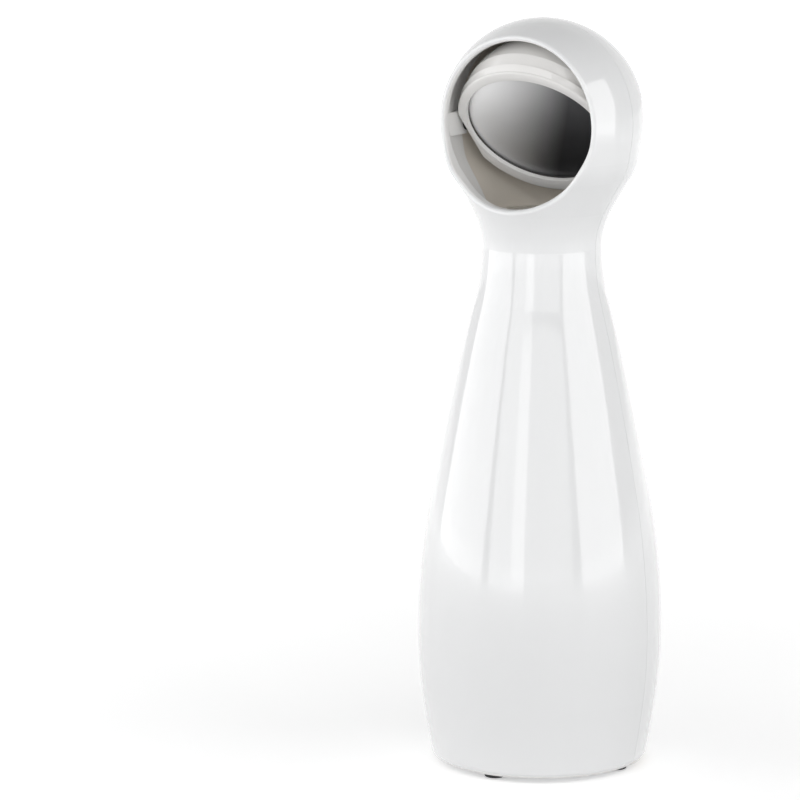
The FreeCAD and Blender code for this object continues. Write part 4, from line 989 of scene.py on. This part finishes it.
class BuildBoard(Operator):
    """Finish the circuit board and its parts."""
    bl_idname = "cat_laser.board"
    bl_label = "Circuit board"

    def execute(self, context):
        finish_nodes("main_board", "board_parts")
        return {"FINISHED"}


def on_axis(box, height):
    """Middle of a box in plan, at a height."""
    low, high = box
    return (low.x + high.x) / 2, (low.y + high.y) / 2, height


def round_toy(angle, reach, height):
    """Place at a bearing from straight in front of the toy."""
    return Vector((reach * math.sin(angle), -reach * math.cos(angle), height))


def aimed(name, data, place, direction):
    """Lamp or camera at a place, looking in a direction."""
    thing = new_object(name, data)
    thing.location = place
    thing.rotation_mode = "QUATERNION"
    thing.rotation_quaternion = direction.to_track_quat("-Z", "Y")
    return thing


def shown_to_eye_and_gloss(tree):
    """1 for the rays of the camera, of reflections and of clear pieces."""
    path = add(tree, "ShaderNodeLightPath")
    seen = worked_out("MAXIMUM", path["Is Camera Ray"], path["Is Glossy Ray"])
    return worked_out("MAXIMUM", seen, path["Is Transmission Ray"])


class BuildStudio(Operator):
    """Make the floor, the white room, the softboxes and the camera."""
    bl_idname = "cat_laser.studio"
    bl_label = "Studio"

    def execute(self, context):
        setup = context.scene.cat_laser_studio
        context.scene.view_settings.view_transform = "Standard"
        self.make_floor(setup)
        self.make_room(context.scene, setup)
        self.make_lamps(setup)
        self.make_camera(context.scene, setup)
        return {"FINISHED"}

    def make_floor(self, setup):
        half, under_feet = 6.0, -0.0002
        glow_near, glow_far, glow_gain = 0.08, 0.9, 0.5
        mesh = bpy.data.meshes.new("floor")
        mesh.from_pydata([(-half, -half, 0), (half, -half, 0), (half, half, 0), (-half, half, 0)], [],
                         [(0, 1, 2, 3)])
        floor = new_object("floor", mesh)
        floor.location.z = under_feet
        material, tree, shader = new_material("floor_white")
        mesh.materials.append(material)
        far_glow = fit_range(size_of(object_place(tree)), glow_near, glow_far, setup.floor_glow,
                             setup.floor_glow + glow_gain)
        fill(shader, base_color=(0.93, 0.93, 0.93, 1), roughness=0.6, specular_ior_level=0.2,
             emission_color=(1, 1, 1, 1), emission_strength=shown_to_eye_and_gloss(tree) * far_glow)

    def make_room(self, scene, setup):
        side_end, top_start = 0.15, 0.95
        scene.world = bpy.data.worlds.new("white_room")
        scene.world.use_nodes = True
        tree = scene.world.node_tree
        up = split(add(tree, "ShaderNodeTexCoord")["Generated"])[2]
        level = fit_range(up, side_end, top_start, setup.room_level, setup.room_top)
        fill(tree.nodes["Background"].inputs, color=(1, 1, 1, 1),
             strength=fit_range(shown_to_eye_and_gloss(tree), 0.0, 1.0, level, 1.0))

    def make_lamps(self, setup):
        middle = Vector((0, 0, 0.12))
        # Name, degrees to the right of the camera, reach, height, width and height of its face, power
        boxes = (("key_softbox", -32, 0.95, 0.20, 0.6, 0.6, setup.key_power),
                 ("left_softbox", -86, 0.9, 0.32, 1.1, 0.75, setup.left_power),
                 ("right_softbox", 64, 0.9, 0.40, 0.9, 0.85, setup.right_power),
                 ("high_softbox", 12, 1.0, 0.78, 0.5, 0.4, setup.high_power),
                 ("front_card", 2, 1.5, 0.22, 1.7, 0.9, setup.card_power))
        for name, turn, reach, height, wide, tall, power in boxes:
            light = bpy.data.lights.new(name, "AREA")
            light.shape = "RECTANGLE"
            light.size, light.size_y, light.energy = wide, tall, power
            place = round_toy(setup.camera_turn + math.radians(turn), reach, height)
            aimed(name, light, place, middle - place)

    def make_camera(self, scene, setup):
        data = bpy.data.cameras.new("studio_camera")
        data.lens = setup.lens
        data.sensor_width = 36.0
        data.clip_start, data.clip_end = 0.05, 50.0
        heading, pitch = setup.camera_turn + setup.camera_yaw, setup.camera_pitch
        forward = Vector((-math.sin(heading) * math.cos(pitch), math.cos(heading) * math.cos(pitch),
                          -math.sin(pitch)))
        place = round_toy(setup.camera_turn, setup.camera_reach, setup.camera_height)
        scene.camera = aimed("studio_camera", data, place, forward)


class CatLaserPanel(Panel):
    """Sidebar panel that lists the toy's pieces in making order."""
    bl_idname = "VIEW3D_PT_cat_laser"
    bl_label = "Cat Laser Toy"
    bl_space_type = "VIEW_3D"
    bl_region_type = "UI"
    bl_category = "Cat Laser Toy"

    def draw(self, context):
        for operator in build_order:
            self.layout.operator(operator.bl_idname)


setting_groups = (
    ("cat_laser_shell", ShellSizes),
    ("cat_laser_pod", PodSizes),
    ("cat_laser_hardware", HardwareSizes),
    ("cat_laser_studio", StudioSetup),
    ("cat_laser_finishes", Finishes),
)
build_order = (BuildShells, BuildPod, BuildControls, BuildBase, BuildScrews, BuildCells, BuildDrive,
               BuildLaser, BuildBoard, BuildStudio)


def register():
    for name, group in setting_groups:
        bpy.utils.register_class(group)
        setattr(bpy.types.Scene, name, PointerProperty(type=group))
    for operator in build_order:
        bpy.utils.register_class(operator)
    bpy.utils.register_class(CatLaserPanel)


def unregister():
    bpy.utils.unregister_class(CatLaserPanel)
    for operator in reversed(build_order):
        bpy.utils.unregister_class(operator)
    for name, group in reversed(setting_groups):
        delattr(bpy.types.Scene, name)
        bpy.utils.unregister_class(group)


def main():
    register()
    scene = bpy.context.scene
    make_finishes(scene.cat_laser_finishes, scene.cat_laser_shell)
    for operator in build_order:
        family, name = operator.bl_idname.split(".")
        getattr(getattr(bpy.ops, family), name)()


if __name__ == "__main__":
    main()
